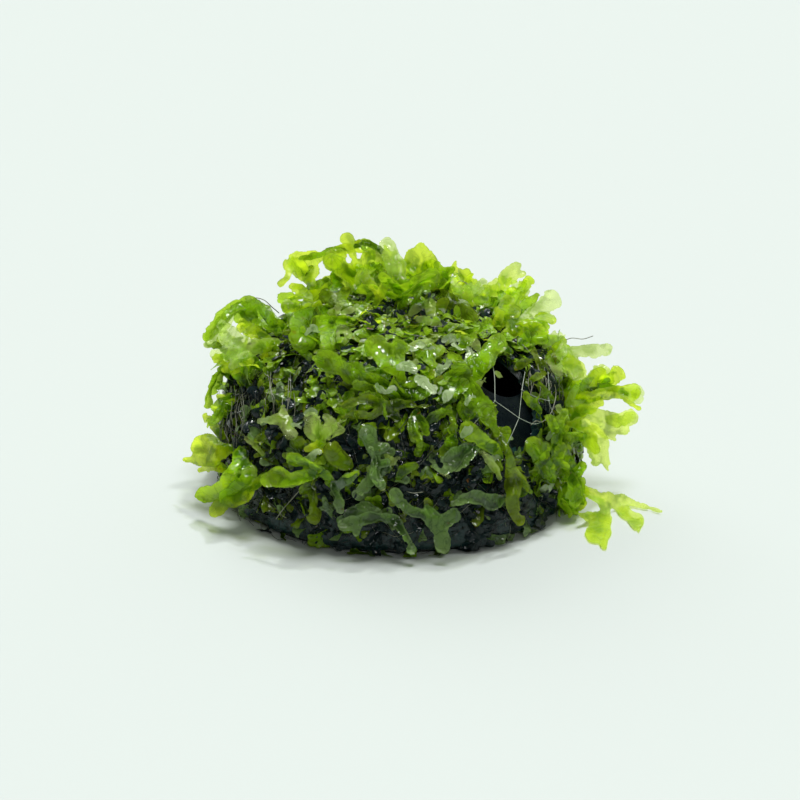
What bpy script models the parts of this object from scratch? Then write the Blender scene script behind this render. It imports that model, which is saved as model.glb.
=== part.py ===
# Freshwater thallus plant held by a thin net on a hollow half shell that has an oval window.
# Lengths are metres. Z points up and the front of the part looks along minus Y.
import math

import bmesh
import bpy
from mathutils import Matrix, Vector, noise
from mathutils.geometry import delaunay_2d_cdt

for thing in list(bpy.data.objects):
    bpy.data.objects.remove(thing, do_unlink=True)

mm = 0.001

# Dome that carries everything: a rounded, slightly square-shouldered half ball
feltRadius = 52 * mm
feltHeight = 51.5 * mm
shoulder = 3.0
feltThick = 3.6 * mm
feltFoot = 0.9 * mm
feltDip = 1.8 * mm
feltLump = 9 * mm
fitGap = 0.35 * mm
shellWall = 4.0 * mm
around = 40
feltRings = 11
shellRings = 9
creaseAngle = math.radians(50)

# Window through the shell and the larger bare patch round it in the felt
windowSpot = (28.0 * mm, 32.0 * mm)
windowAcross = 9.0 * mm
windowAlong = 8.2 * mm
windowBevel = 2.0 * mm
patchSpot = (27.7 * mm, 25.6 * mm)
patchAcross = 10.0 * mm
patchAlong = 17.0 * mm
patchBevel = 0.5 * mm
cutSides = 20
cutDeep = 12 * mm

# View in which the leaves are drawn: it looks down at the dome from the front, eyeAway from its foot
viewTilt = math.radians(22)
eyeAway = 800 * mm
pixel = 0.29 * mm
pictureMiddle = 400
footColumn = 399
footRow = 482
sightBack = 120 * mm
sightStride = 1.5 * mm
sightHalvings = 14

# Leaf sheets
sheetThick = 0.9 * mm
floorClear = 0.85 * mm
ruffleHigh = 0.8 * mm
ruffleLong = 11 * mm
ruffleFree = 6 * mm
capAngle = math.radians(38)
pointyTip = 0.75 * mm
joinGap = 0.000001
rimClose = 0.45 * mm
rimStraight = math.radians(5)
rimFewest = 6
bonePieces = 3
boneSoft = 0.8 * mm
boneFade = 1.5

tones = {
    "bright": ((0.42, 0.62, 0.03), 0.35),
    "pale": ((0.52, 0.68, 0.22), 0.3),
    "fresh": ((0.22, 0.42, 0.04), 0.35),
    "mid": ((0.11, 0.22, 0.03), 0.4),
    "olive": ((0.09, 0.13, 0.02), 0.4),
}

# Each leaf has a tone, a turn of the view about Z in degrees, and its arms from the root outwards.
# A point of an arm has its column and row in the view, its lift over the felt in mm and half the arm's
# width in pixels, then how many mm it stands nearer to the eye, where it passes in front of something.
leaves = {
    "crown_long_arm": ("bright", 0, [
        [(396, 289, 1, 4), (386, 268, 5, 6, -4), (370, 248, 8, 7, -6), (346, 249, 9, 5.5, -6),
         (318, 257, 9, 6.5, -4), (298, 261, 9, 8, -2), (288, 264, 9, 5.5)],
        [(312, 258, 9, 7, -4), (308, 272, 8, 9, -1), (312, 285, 7, 4)],
        [(290, 264, 9, 4), (287, 277, 9, 3.2, 2), (281, 284, 9, 3.2, 3)],
    ]),
    "crown_club_sprig": ("bright", 0, [
        [(368, 293, 1, 4.5), (357, 281, 3.5, 8, 1), (342, 268, 6, 9, 3), (331, 260, 8, 7.5, 4)],
        [(362, 284, 3, 5, 1), (357, 266, 6, 4, 2), (351, 250, 9, 4, 2), (347, 239, 10, 6.5, 1)],
        [(362, 285, 3, 5, 1), (373, 274, 4.5, 7.5, 3), (366, 263, 5.5, 7.5, 3), (371, 253, 6.5, 5.5, 2)],
        [(371, 278, 4, 5, 3), (385, 281, 4.5, 5.5, 5)],
    ]),
    "crown_round_lobe": ("pale", 0, [
        [(406, 292, 1, 4), (399, 275, 5, 7, 2), (391, 257, 8, 9, 3), (387, 246, 9, 10, 2)],
        [(396, 272, 6, 5, 2), (401, 263, 7, 5, 4)],
    ]),
    "crown_upright_blade": ("bright", 0, [
        [(424, 293, 1, 4.5), (423, 277, 4, 9), (421, 261, 7, 8.5), (421, 247, 9, 5)],
        [(419, 282, 3, 5), (411, 267, 5, 5), (411, 253, 6, 4.5)],
        [(428, 283, 3, 5), (433, 268, 5, 6), (429, 254, 6, 4.5)],
    ]),
    "crown_right_fork": ("fresh", 0, [
        [(448, 289, 1, 3.5), (444, 280, 4, 5, 4), (446, 272, 6, 4.5, 5), (452, 269, 7, 2.5, 6)],
        [(444, 281, 4, 4, 4), (438, 265, 6, 4, 6)],
    ]),
    "crown_olive_blade": ("olive", 0, [
        [(436, 293, 1, 5), (448, 300, 2.5, 7.5), (461, 309, 2.5, 8), (474, 318, 2, 5)],
    ]),
    "crown_right_lobe": ("pale", 0, [
        [(466, 304, 1, 3.5), (467, 294, 3, 6.5), (476, 286, 5, 7.5)],
        [(467, 296, 3, 5), (455, 287, 4, 4)],
    ]),
    "right_shoulder_clubs": ("bright", 0, [
        [(490, 309, 1, 4), (496, 296, 4, 6), (504, 281, 7, 7), (512, 271, 8, 6), (517, 266, 9, 5)],
        [(504, 284, 6, 5), (517, 277, 8, 4), (522, 274, 8, 4)],
        [(497, 294, 4, 5), (486, 288, 4, 5.5)],
    ]),
    "right_round_club": ("pale", 0, [
        [(520, 330, 1, 4), (529, 317, 4, 8), (540, 308, 7, 7), (550, 301, 9, 9.5)],
        [(530, 320, 4, 6), (543, 316, 7, 6), (551, 319, 8, 5)],
    ]),
    "right_shoulder_body": ("bright", 0, [
        [(506, 334, 1, 4), (518, 329, 2.5, 8), (532, 330, 4, 9), (543, 333, 5, 6)],
        [(514, 331, 2, 6), (511, 316, 3.5, 8), (513, 303, 4.5, 8), (511, 294, 5.5, 6.5)],
        [(513, 304, 4.5, 4.5), (523, 290, 6, 5), (529, 281, 7, 4)],
    ]),
    "right_long_club": ("bright", 0, [
        [(548, 360, 1, 4), (562, 353, 6, 4), (580, 351, 10, 5.5), (597, 351, 13, 7), (605, 350, 14, 6.5)],
        [(561, 353, 6, 4), (563, 342, 7, 3.5)],
        [(553, 358, 4, 5), (563, 364, 6, 7), (573, 366, 7, 11), (577, 372, 8, 8)],
    ]),
    "right_ring_sprig": ("bright", 0, [
        [(561, 386, 1, 4), (577, 386, 5, 6), (590, 382, 8, 6), (600, 375, 10, 9)],
        [(600, 380, 9, 5), (613, 381, 12, 5), (616, 370, 13, 5.5), (622, 377, 14, 4)],
    ]),
    "right_top_arm": ("bright", 0, [
        [(566, 398, 1, 4), (584, 399, 6, 7), (602, 394, 10, 7), (619, 392, 13, 7), (632, 392, 15, 8)],
        [(624, 396, 13, 4), (631, 403, 14, 2.5), (639, 408, 15, 2)],
    ]),
    "right_middle_club": ("bright", 0, [
        [(568, 410, 1, 4), (588, 412, 6, 8, 3), (604, 418, 9, 7, 4), (619, 419, 12, 7, 4),
         (629, 418, 14, 8, 4)],
        [(602, 421, 9, 6, 4), (614, 430, 11, 5.5, 2), (624, 430, 12, 5, 1)],
        [(590, 415, 6, 5, 3), (604, 434, 9, 4, 1), (615, 439, 11, 1.8)],
    ]),
    "right_hanging_blade": ("bright", 0, [
        [(566, 424, 1, 4), (584, 425, 5, 7, 7), (597, 437, 7, 7.5, 8), (604, 452, 9, 5.5, 8),
         (607, 464, 10, 3, 8), (609, 474, 11, 1.2, 8)],
        [(588, 429, 5, 6, 7), (592, 446, 7, 6, 5), (595, 461, 8, 5, 5)],
    ]),
    "right_low_spray": ("bright", 0, [
        [(572, 482, 1, 4), (585, 490, 5, 5.5), (598, 497, 9, 6), (613, 498, 12, 5), (628, 501, 14, 4),
         (643, 506, 16, 3), (661, 511, 18, 1.2)],
        [(608, 499, 11, 5), (619, 507, 13, 6), (630, 518, 15, 6), (638, 530, 17, 2.5)],
        [(631, 516, 15, 4), (638, 520, 16, 5)],
        [(604, 499, 10, 5), (606, 514, 10, 5.5), (606, 530, 10, 5), (604, 547, 10, 2.5)],
        [(605, 527, 10, 5), (594, 534, 9, 7)],
        [(603, 517, 10, 5), (591, 517, 9, 5), (580, 515, 8, 2)],
    ]),
    "right_curl": ("fresh", 0, [
        [(568, 470, 1, 4), (571, 486, 3, 11), (569, 499, 3, 12), (573, 511, 3, 5)],
        [(572, 480, 2.5, 6), (582, 466, 4, 4.5)],
    ]),
    "right_antler": ("fresh", 0, [
        [(556, 458, 1, 3.5), (557, 441, 3, 6), (558, 425, 4, 6), (564, 413, 5, 5)],
        [(556, 427, 4, 5), (549, 418, 4, 5)],
        [(558, 440, 3, 5), (572, 436, 4, 5), (582, 437, 5, 4.5)],
    ]),
    "right_dark_lobes": ("mid", 0, [
        [(552, 480, 1, 4), (545, 466, 2.5, 7), (537, 450, 3, 9), (531, 443, 3, 8)],
        [(541, 458, 3, 5), (546, 446, 3, 4)],
        [(546, 468, 3, 5), (551, 476, 3.5, 4)],
    ]),
    "front_right_strap": ("olive", 0, [
        [(493, 424, 1, 2.5), (503, 441, 5, 3), (510, 459, 6, 5), (513, 479, 4.5, 8),
         (513, 496, 4.5, 7.5), (512, 504, 4.5, 5)],
        [(511, 500, 4, 5), (515, 512, 5, 6.5), (520, 520, 5.5, 5.5)],
        [(511, 470, 5, 4), (521, 477, 4, 3), (526, 485, 4, 2.8), (528, 491, 4, 1.2)],
    ]),
    "front_pale_strap": ("pale", 0, [
        [(500, 478, 1, 2.2), (494, 468, 3, 4), (487, 458, 4.5, 4.2), (482, 453, 5, 3.2)],
    ]),
    "front_paddle": ("fresh", 0, [
        [(501, 458, 1, 3), (496, 451, 2.5, 5), (488, 444, 4.5, 6), (478, 438, 6, 7),
         (468, 430, 6.5, 8.5)],
    ]),
    "upper_right_paddle": ("fresh", 0, [
        [(474, 382, 1, 4), (482, 366, 3, 8), (491, 352, 4, 9), (499, 341, 5, 7)],
        [(482, 366, 3, 6), (474, 361, 3.5, 7)],
    ]),
    "centre_right_cascade": ("mid", 0, [
        [(441, 400, 1, 4), (447, 386, 2.5, 8), (459, 375, 3, 13)],
        [(462, 380, 3, 8), (475, 394, 4, 9), (484, 406, 4.5, 9), (489, 419, 5, 7), (497, 433, 5, 3.5)],
        [(456, 384, 3, 6), (450, 396, 4, 7)],
        [(472, 400, 4, 6), (469, 410, 5, 6)],
    ]),
    "centre_heart": ("fresh", 0, [
        [(404, 388, 1, 4), (399, 371, 4, 7), (389, 358, 5.5, 11), (377, 347, 6, 13)],
        [(392, 361, 5.5, 8), (398, 349, 6, 10)],
    ]),
    "centre_broad_spread": ("mid", 0, [
        [(400, 405, 1, 4), (395, 392, 3, 8), (378, 384, 3.5, 8), (356, 376, 4, 9), (336, 365, 4.5, 11),
         (325, 360, 4.5, 9)],
        [(398, 391, 3, 8), (412, 391, 4, 9), (424, 390, 4.5, 11)],
        [(360, 377, 4, 6), (357, 369, 4, 8)],
    ]),
    "left_shoulder_broad": ("mid", 0, [
        [(328, 309, 1, 4), (312, 317, 5, 9), (301, 329, 6, 13), (304, 342, 5, 11)],
    ]),
    "left_shoulder_bright": ("fresh", 0, [
        [(347, 320, 1, 4), (333, 320, 3, 6), (320, 324, 4.5, 8.5)],
        [(331, 323, 3, 6), (327, 337, 4.5, 7), (326, 347, 4.5, 6.5)],
    ]),
    "left_shoulder_lobe": ("bright", 0, [
        [(311, 322, 1, 4), (301, 309, 3.5, 7), (288, 306, 6, 8)],
        [(303, 312, 3.5, 5), (308, 297, 5, 5), (297, 289, 7, 4.5)],
    ]),
    "centre_jagged": ("olive", 0, [
        [(398, 419, 1, 4), (386, 407, 2.5, 6), (368, 399, 3, 5), (351, 403, 3, 4.5), (337, 408, 3, 1.6)],
        [(382, 407, 2.5, 5), (372, 415, 2.5, 4), (355, 414, 3, 4), (343, 417, 3, 1.6)],
        [(392, 404, 3, 5), (408, 404, 5, 4), (427, 407, 5, 1.8)],
    ]),
    "centre_hanging_clubs": ("mid", 0, [
        [(417, 411, 1, 3), (412, 424, 3.5, 4.5), (416, 436, 4, 4.5), (420, 445, 4, 4)],
        [(416, 413, 2, 4), (423, 423, 3.5, 4), (426, 432, 4, 4)],
    ]),
    "front_dark_cup": ("mid", 0, [
        [(377, 462, 1, 3), (373, 449, 2.5, 5), (368, 434, 3, 9)],
        [(374, 450, 2.5, 4), (385, 447, 3, 5)],
        [(375, 458, 1.8, 4), (375, 468, 2.5, 4), (376, 478, 3, 5.5), (381, 484, 3, 5)],
        [(376, 465, 2.5, 3.5), (386, 463, 3, 4)],
    ]),
    "front_grey_fork": ("mid", 0, [
        [(472, 446, 1, 3.5), (460, 452, 2.5, 8), (450, 461, 3, 9)],
        [(457, 463, 3, 4), (445, 472, 3.5, 3), (434, 466, 3.5, 3)],
    ]),
    "left_arch": ("bright", 0, [
        [(284, 328, 1, 4), (270, 323, 4, 8), (255, 311, 7, 10), (240, 306, 9, 7), (227, 313, 10, 6),
         (216, 326, 11, 6), (206, 338, 12, 4)],
        [(217, 328, 11, 4), (209, 334, 12, 5.5)],
    ]),
    "left_veil": ("pale", 0, [
        [(277, 342, 1, 4), (262, 345, 4, 8), (246, 348, 6, 9), (231, 338, 8, 10), (223, 326, 9, 6)],
        [(242, 350, 6, 6), (227, 353, 8, 6), (215, 354, 9, 4.5)],
        [(246, 355, 6, 5), (232, 366, 7, 5)],
    ]),
    "left_side_pair": ("fresh", 0, [
        [(231, 396, 1, 3), (222, 402, 3, 4.5), (213, 407, 4, 3)],
        [(224, 402, 3, 3.5), (218, 416, 4, 4.5), (209, 425, 5, 3.5)],
    ]),
    "left_middle_hand": ("bright", 0, [
        [(233, 449, 1, 3.5), (220, 448, 4, 8), (208, 443, 6, 8), (200, 443, 7, 6), (195, 448, 8, 4.5)],
        [(221, 453, 4, 7), (211, 460, 6, 7), (198, 459, 8, 5.5), (186, 460, 10, 2.5)],
    ]),
    "left_low_broad": ("fresh", 0, [
        [(240, 450, 1, 4), (240, 463, 4, 9), (238, 478, 6, 14), (226, 489, 7, 11), (213, 493, 8, 8),
         (202, 495, 9, 8)],
    ]),
    "left_low_tips": ("bright", 0, [
        [(262, 477, 1, 3.5), (254, 487, 4, 5), (240, 498, 6, 7), (226, 502, 7, 8), (215, 511, 9, 6)],
    ]),
    "left_boat": ("pale", 0, [
        [(283, 408, 1, 3), (285, 423, 3.5, 6), (291, 434, 4, 7.5)],
        [(283, 418, 3.5, 4), (271, 420, 4, 4), (260, 421, 4, 3)],
    ]),
    "front_left_roll": ("pale", 0, [
        [(322, 445, 1, 4), (315, 431, 4, 8), (311, 419, 5, 8.5)],
        [(321, 438, 3, 5), (330, 425, 5, 6), (326, 417, 5, 4)],
    ]),
    "front_left_olive": ("olive", 0, [
        [(350, 466, 1, 4), (338, 458, 3, 10), (333, 450, 4, 11)],
    ]),
    "front_left_chain": ("fresh", 0, [
        [(331, 480, 1, 3.5), (320, 471, 4, 5.5), (307, 475, 5, 6.5), (292, 479, 5.5, 7),
         (277, 477, 6, 9), (267, 480, 6, 7)],
        [(319, 471, 4, 4), (305, 463, 5.5, 4.5), (290, 460, 5, 5)],
    ]),
    "front_left_drop": ("olive", 0, [
        [(313, 476, 1, 3.5), (312, 491, 2.5, 5.5), (314, 506, 3, 6), (314, 517, 3, 6.5)],
        [(311, 484, 2, 4), (303, 490, 2.5, 5)],
    ]),
    "front_left_second_drop": ("mid", 0, [
        [(333, 484, 1, 3), (337, 497, 2.5, 5), (341, 511, 3, 5)],
        [(335, 488, 1.8, 3.5), (346, 480, 2.5, 5), (356, 473, 3, 4)],
    ]),
    "low_fork": ("fresh", 0, [
        [(427, 506, 1, 3.5), (433, 519, 3.5, 8), (440, 532, 4, 8.5), (443, 545, 4.5, 9)],
        [(432, 517, 3.5, 6), (414, 512, 3.5, 5), (401, 503, 3.5, 6.5), (395, 494, 3.5, 6.5)],
        [(440, 525, 4, 6), (453, 516, 4, 8.5)],
    ]),
    "low_wave": ("fresh", 0, [
        [(507, 497, 1, 3.5), (493, 502, 3, 8), (477, 497, 3.5, 6.5), (464, 499, 3.5, 5),
         (454, 504, 3.5, 3.5)],
    ]),
    "low_cup": ("fresh", 0, [
        [(394, 518, 1, 4), (402, 531, 3, 5), (408, 541, 3.5, 4.5), (411, 549, 4, 7)],
        [(396, 521, 1.8, 4), (383, 517, 2.2, 4.5), (367, 518, 2.5, 7), (353, 523, 3, 7),
         (344, 525, 3, 6)],
        [(358, 523, 3, 4.5), (356, 533, 3, 4)],
    ]),
    "back_crown_fan": ("fresh", 180, [
        [(402, 326, 1, 4), (394, 308, 4, 8), (380, 294, 8, 9), (366, 284, 11, 8)],
        [(396, 312, 4, 6), (408, 294, 8, 7), (414, 280, 11, 7)],
        [(386, 298, 7, 5), (368, 304, 7, 6)],
        [(402, 318, 3, 5), (420, 316, 4, 7), (436, 320, 4, 7)],
    ]),
    "back_left_spray": ("bright", 236, [
        [(392, 362, 1, 4), (380, 354, 3, 8), (366, 352, 4, 9), (350, 358, 5, 8)],
        [(382, 356, 3, 6), (374, 370, 5, 7), (360, 382, 7, 6.5)],
        [(385, 352, 3, 5), (400, 356, 4, 6.5), (412, 366, 5, 6)],
        [(356, 354, 4.5, 6), (344, 368, 6, 6), (332, 376, 7, 5.5)],
    ]),
    "back_right_spray": ("bright", 142, [
        [(392, 388, 1, 4), (408, 376, 4, 8), (426, 370, 7, 9), (444, 374, 9, 8)],
        [(406, 379, 4, 6), (414, 394, 5, 7), (428, 408, 7, 6.5)],
        [(400, 381, 2.5, 5), (388, 372, 4, 7), (372, 374, 6, 6.5)],
        [(428, 372, 7, 6), (440, 388, 8, 6), (454, 398, 9, 5.5)],
    ]),
    "back_middle_broad": ("mid", 180, [
        [(412, 404, 1, 4), (402, 390, 3, 9), (386, 378, 5, 11), (368, 370, 6, 11)],
        [(405, 393, 3, 7), (420, 378, 5, 9), (438, 372, 7, 9)],
        [(408, 398, 2, 5), (418, 414, 3.5, 7), (424, 430, 5, 6)],
        [(384, 380, 5, 7), (372, 394, 5, 7), (360, 404, 6, 7)],
    ]),
    "back_left_hand": ("fresh", 218, [
        [(404, 412, 1, 4), (388, 412, 4, 9), (370, 420, 6, 9), (354, 434, 8, 7)],
        [(386, 418, 4, 6), (380, 438, 5, 8), (368, 456, 7, 7)],
        [(390, 410, 3.5, 5), (376, 396, 5, 7)],
        [(380, 440, 5, 5), (392, 456, 6, 6), (396, 470, 6, 5)],
    ]),
    "back_right_hand": ("fresh", 120, [
        [(390, 424, 1, 4), (404, 420, 4, 8), (420, 426, 6, 9), (434, 438, 8, 7)],
        [(404, 424, 4, 6), (410, 442, 5, 8), (420, 458, 7, 7)],
        [(402, 417, 3.5, 5), (416, 404, 5, 7)],
        [(410, 444, 5, 5), (398, 458, 6, 6), (392, 472, 6, 5)],
    ]),
    "back_low_strap": ("mid", 172, [
        [(404, 456, 1, 4), (398, 474, 3, 8), (386, 492, 4, 9), (372, 508, 5, 8)],
        [(400, 472, 2.5, 6), (416, 490, 4, 8), (424, 508, 5, 7)],
        [(400, 464, 2.5, 5), (384, 460, 4, 7), (368, 466, 5, 7)],
    ]),
    "left_side_sprig": ("fresh", 274, [
        [(392, 410, 1, 4), (380, 424, 3.5, 8), (364, 434, 5, 8), (350, 448, 6, 7)],
        [(382, 422, 3, 6), (388, 444, 4, 8), (384, 464, 5, 7)],
        [(384, 416, 3, 5), (368, 410, 5, 7)],
        [(388, 446, 4, 5), (402, 458, 5, 6), (408, 472, 5, 5)],
    ]),
    "right_side_sprig": ("fresh", 96, [
        [(420, 424, 1, 4), (432, 438, 3.5, 8), (446, 448, 5, 8), (458, 462, 6, 7)],
        [(430, 436, 3, 6), (424, 456, 4, 8), (430, 476, 5, 7)],
        [(429, 430, 3, 5), (446, 424, 5, 7)],
    ]),
}

# Threads of the net over the window, then its knots, drawn in the same way
netThreads = [
    [(488, 352, 1.4, 1), (494, 372, 1.4, 1), (495, 401, 1.4, 1)],
    [(495, 401, 1.4, 1), (508, 410, 1.4, 1), (519, 418, 1.4, 1)],
    [(525, 372, 1.4, 1), (522, 390, 1.4, 1), (519, 418, 1.4, 1)],
    [(519, 418, 1.4, 1), (512, 434, 1.4, 1), (503, 452, 1.4, 1)],
    [(495, 401, 1.4, 1), (484, 412, 1.4, 1), (474, 424, 1.4, 1)],
    [(522, 390, 1.4, 1), (536, 397, 1.4, 1), (549, 401, 1.4, 1)],
    [(548, 372, 1.4, 1), (549, 387, 1.4, 1), (549, 401, 1.4, 1), (554, 416, 1.4, 1)],
    [(519, 418, 1.4, 1), (534, 424, 1.4, 1), (546, 420, 1.4, 1)],
    [(493.5, 399.5, 1.4, 2), (496.5, 402.5, 1.4, 2)],
    [(517.5, 416.5, 1.4, 2), (520.5, 419.5, 1.4, 2)],
    [(522, 388, 1.4, 2), (522, 392, 1.4, 2)],
    [(549, 399, 1.4, 2), (549, 403, 1.4, 2)],
]


# Right, up and into directions of the view that has gone round the dome by turn degrees
def viewFrame(turn):
    spin = Matrix.Rotation(math.radians(turn), 3, "Z")
    right = spin @ Vector((1, 0, 0))
    up = spin @ Vector((0, math.sin(viewTilt), math.cos(viewTilt)))
    into = spin @ Vector((0, math.cos(viewTilt), -math.sin(viewTilt)))
    return right, up, into


# Distance from the foot centre to the dome surface, sunk by sink, along a unit direction
def domeReach(direction, sink=0.0):
    level = math.hypot(direction.x, direction.y) / (feltRadius - sink)
    rise = abs(direction.z) / (feltHeight - sink)
    return (level ** shoulder + rise ** shoulder) ** (-1 / shoulder)


def overDome(point, sink=0.0):
    return point.length - domeReach(point.normalized(), sink)


# Distance along a line to the dome raised by lift, or to its nearest pass beside the dome
def meetDome(start, line, lift, sink=0.0):
    best = None
    here = 0.0
    while here < 2 * sightBack:
        point = start + line * here
        if point.z < floorClear:
            if best and best[1] < here - 2 * sightStride:
                return best[1]
            return (floorClear - start.z) / line.z
        over = overDome(point, sink) - lift
        if over <= 0:
            low, high = here - sightStride, here
            for _ in range(sightHalvings):
                middle = (low + high) / 2
                if overDome(start + line * middle, sink) > lift:
                    low = middle
                else:
                    high = middle
            return high
        if best is None or over < best[0]:
            best = (over, here)
        here += sightStride
    return best[1]


# Right, up, into and half width, in metres, of a drawn point, with the view's perspective taken out
def planeSpot(node, frame):
    column, row, lift, half, *ahead = node
    right, up, into = frame
    target = right * (pictureMiddle - footColumn) * pixel + up * (footRow - pictureMiddle) * pixel
    line = into * eyeAway + (right * (column - pictureMiddle) + up * (pictureMiddle - row)) * pixel
    line.normalize()
    eye = target - into * eyeAway
    away = eyeAway - sightBack
    away += meetDome(eye + line * away, line, lift * mm) - sum(ahead) * mm
    spot = eye + line * away
    return spot.dot(right), spot.dot(up), spot.dot(into), half * pixel * away / eyeAway


def toWorld(right, up, depth, frame):
    return frame[0] * right + frame[1] * up + frame[2] * depth


def material(name, colour, roughness, metallic=0.0):
    made = bpy.data.materials.new(name)
    made.use_nodes = True
    shader = made.node_tree.nodes["Principled BSDF"]
    shader.inputs["Base Color"].default_value = (*colour, 1.0)
    shader.inputs["Roughness"].default_value = roughness
    shader.inputs["Metallic"].default_value = metallic
    return made


def addObject(name, mesh, look):
    made = bpy.data.objects.new(name, mesh)
    made.data.materials.append(look)
    bpy.context.scene.collection.objects.link(made)
    return made


def meshFrom(name, points, faces, smooth=True):
    mesh = bpy.data.meshes.new(name)
    mesh.from_pydata(points, [], faces)
    form = bmesh.new()
    form.from_mesh(mesh)
    bmesh.ops.recalc_face_normals(form, faces=form.faces)
    form.to_mesh(mesh)
    form.free()
    if smooth:
        mesh.shade_smooth()
        mesh.set_sharp_from_angle(angle=creaseAngle)
    return mesh


# Rings of points up the dome from the foot height, ending with the single top point
def domeSkin(sink, foot, rings, dip=0.0):
    points = []
    footAngle = math.asin(foot / (feltRadius - sink))
    for ring in range(rings):
        rise = footAngle + (math.pi / 2 - footAngle) * ring / rings
        for place in range(around):
            turn = 2 * math.pi * place / around
            way = Vector((math.cos(rise) * math.cos(turn), math.cos(rise) * math.sin(turn), math.sin(rise)))
            point = way * domeReach(way, sink)
            if dip and ring:
                point -= way * dip * (1 + noise.noise(point / feltLump)) / 2
            if ring == 0:
                point.z = foot
            points.append(point)
    points.append(Vector((0, 0, feltHeight - sink - dip / 2)))
    return points


# Closed wall between an outer and an inner skin that have the same rings
def domeShell(outer, inner, rings):
    points = outer + inner
    shift = len(outer)
    faces = []
    for base, flip in ((0, False), (shift, True)):
        top = base + rings * around
        for ring in range(rings):
            for place in range(around):
                a = base + ring * around + place
                b = base + ring * around + (place + 1) % around
                if ring < rings - 1:
                    face = [a, b, b + around, a + around]
                else:
                    face = [a, b, top]
                faces.append(face[::-1] if flip else face)
    for place in range(around):
        after = (place + 1) % around
        faces.append([place, shift + place, shift + after, after])
    return points, faces


# Outward direction of the dome surface at a point on it
def domeNormal(point, sink=0.0):
    level = math.hypot(point.x, point.y)
    slope = (level / (feltRadius - sink)) ** (shoulder - 1) / (feltRadius - sink)
    rise = (point.z / (feltHeight - sink)) ** (shoulder - 1) / (feltHeight - sink)
    return Vector((point.x / level * slope, point.y / level * slope, rise)).normalized()


# Oval plug, flared outwards, that stands square to the shell at a spot of the front view
def ovalCutter(name, spot, across, along, flare):
    frame = viewFrame(0)
    sink = feltThick + fitGap
    start = toWorld(*spot, -sightBack, frame)
    centre = start + frame[2] * meetDome(start, frame[2], 0.0, sink)
    normal = domeNormal(centre, sink)
    level = Vector((0, 0, 1)).cross(normal).normalized()
    slope = normal.cross(level)
    points = []
    for height, grow in ((-cutDeep, 0.0), (-flare, 0.0), (cutDeep, cutDeep + flare)):
        for side in range(cutSides):
            turn = 2 * math.pi * side / cutSides
            points.append(centre + normal * height + level * math.cos(turn) * (across + grow)
                          + slope * math.sin(turn) * (along + grow))
    faces = [list(range(cutSides))[::-1], list(range(2 * cutSides, 3 * cutSides))]
    for ring in range(2):
        for side in range(cutSides):
            after = (side + 1) % cutSides
            a = ring * cutSides
            faces.append([a + side, a + after, a + after + cutSides, a + side + cutSides])
    cutter = addObject(name, meshFrom(name, points, faces, False), material(name, (0.5, 0.5, 0.5), 0.5))
    cutter.hide_render = True
    cutter.display_type = "WIRE"
    return cutter


def cutWith(target, cutter):
    cut = target.modifiers.new("window", "BOOLEAN")
    cut.operation = "DIFFERENCE"
    cut.solver = "EXACT"
    cut.object = cutter


# Side points, quads and rounded tip of one arm, flat in the view
def armOutline(arm):
    middles = [Vector(node[:2]) for node in arm]
    halves = [node[3] for node in arm]
    last = len(arm) - 1
    points = []
    faces = []
    for index, (middle, half) in enumerate(zip(middles, halves)):
        way = (middles[min(index + 1, last)] - middles[max(index - 1, 0)]).normalized()
        side = Vector((-way.y, way.x))
        points += [middle + side * half, middle - side * half]
        if index:
            a = 2 * index
            faces.append([a - 2, a - 1, a + 1, a])
    way = (middles[last] - middles[last - 1]).normalized()
    side = Vector((-way.y, way.x))
    half = halves[last]
    a = 2 * last
    if half > pointyTip:
        for turn in (capAngle, -capAngle):
            points.append(middles[last] + (way * math.cos(turn) + side * math.sin(turn)) * half)
        faces.append([a, a + 1, a + 3, a + 2])
    else:
        points.append(middles[last] + way * half)
        faces.append([a, a + 1, a + 2])
    return points, faces


def insideAny(point, quads):
    for quad in quads:
        signs = [(b - a).cross(point - a) for a, b in zip(quad, quad[1:] + quad[:1])]
        if all(value >= 0 for value in signs) or all(value <= 0 for value in signs):
            return True
    return False


# Drops outline points that sit on top of, or in line with, their neighbours
def thinLoop(loop):
    changed = True
    while changed and len(loop) > rimFewest:
        changed = False
        for index in range(len(loop)):
            before, here, after = loop[index - 1], loop[index], loop[(index + 1) % len(loop)]
            a, b = here - before, after - here
            if a.length < rimClose or abs(a.angle_signed(b, 0)) < rimStraight:
                loop = loop[:index] + loop[index + 1:]
                changed = True
                break
    return loop


# Edges, each with its direction, that only one face has
def rimEdges(faces):
    pairs = {(a, b) for face in faces for a, b in zip(face, face[1:] + face[:1])}
    return [(a, b) for a, b in sorted(pairs) if (b, a) not in pairs]


# One flat sheet that joins all the arms: its points and triangles in the view
def leafOutline(arms):
    points = []
    faces = []
    for arm in arms:
        armPoints, armFaces = armOutline(arm)
        start = len(points)
        points += armPoints
        faces += [[start + corner for corner in face] for face in armFaces]
    quads = [[points[corner] for corner in face] for face in faces]
    flat = delaunay_2d_cdt(points, [], faces, 1, joinGap)
    edges = rimEdges([face for face, origin in zip(flat[2], flat[5]) if origin])
    follow = dict(edges)
    if len(follow) != len(edges):
        raise ValueError("the sheet meets itself at a point")
    corners = []
    sides = []
    while follow:
        start, here = follow.popitem()
        loop = [start]
        while here != start:
            loop.append(here)
            here = follow.pop(here)
        loop = thinLoop([flat[0][corner] for corner in loop])
        first = len(corners)
        corners += loop
        sides += [(first + i, first + (i + 1) % len(loop)) for i in range(len(loop))]
    sheet = delaunay_2d_cdt(corners, sides, [], 1, joinGap)
    kept = []
    for face in sheet[2]:
        middle = sum((sheet[0][corner] for corner in face), Vector((0, 0))) / len(face)
        if insideAny(middle, quads):
            kept.append(face)
    return sheet[0], kept


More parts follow.
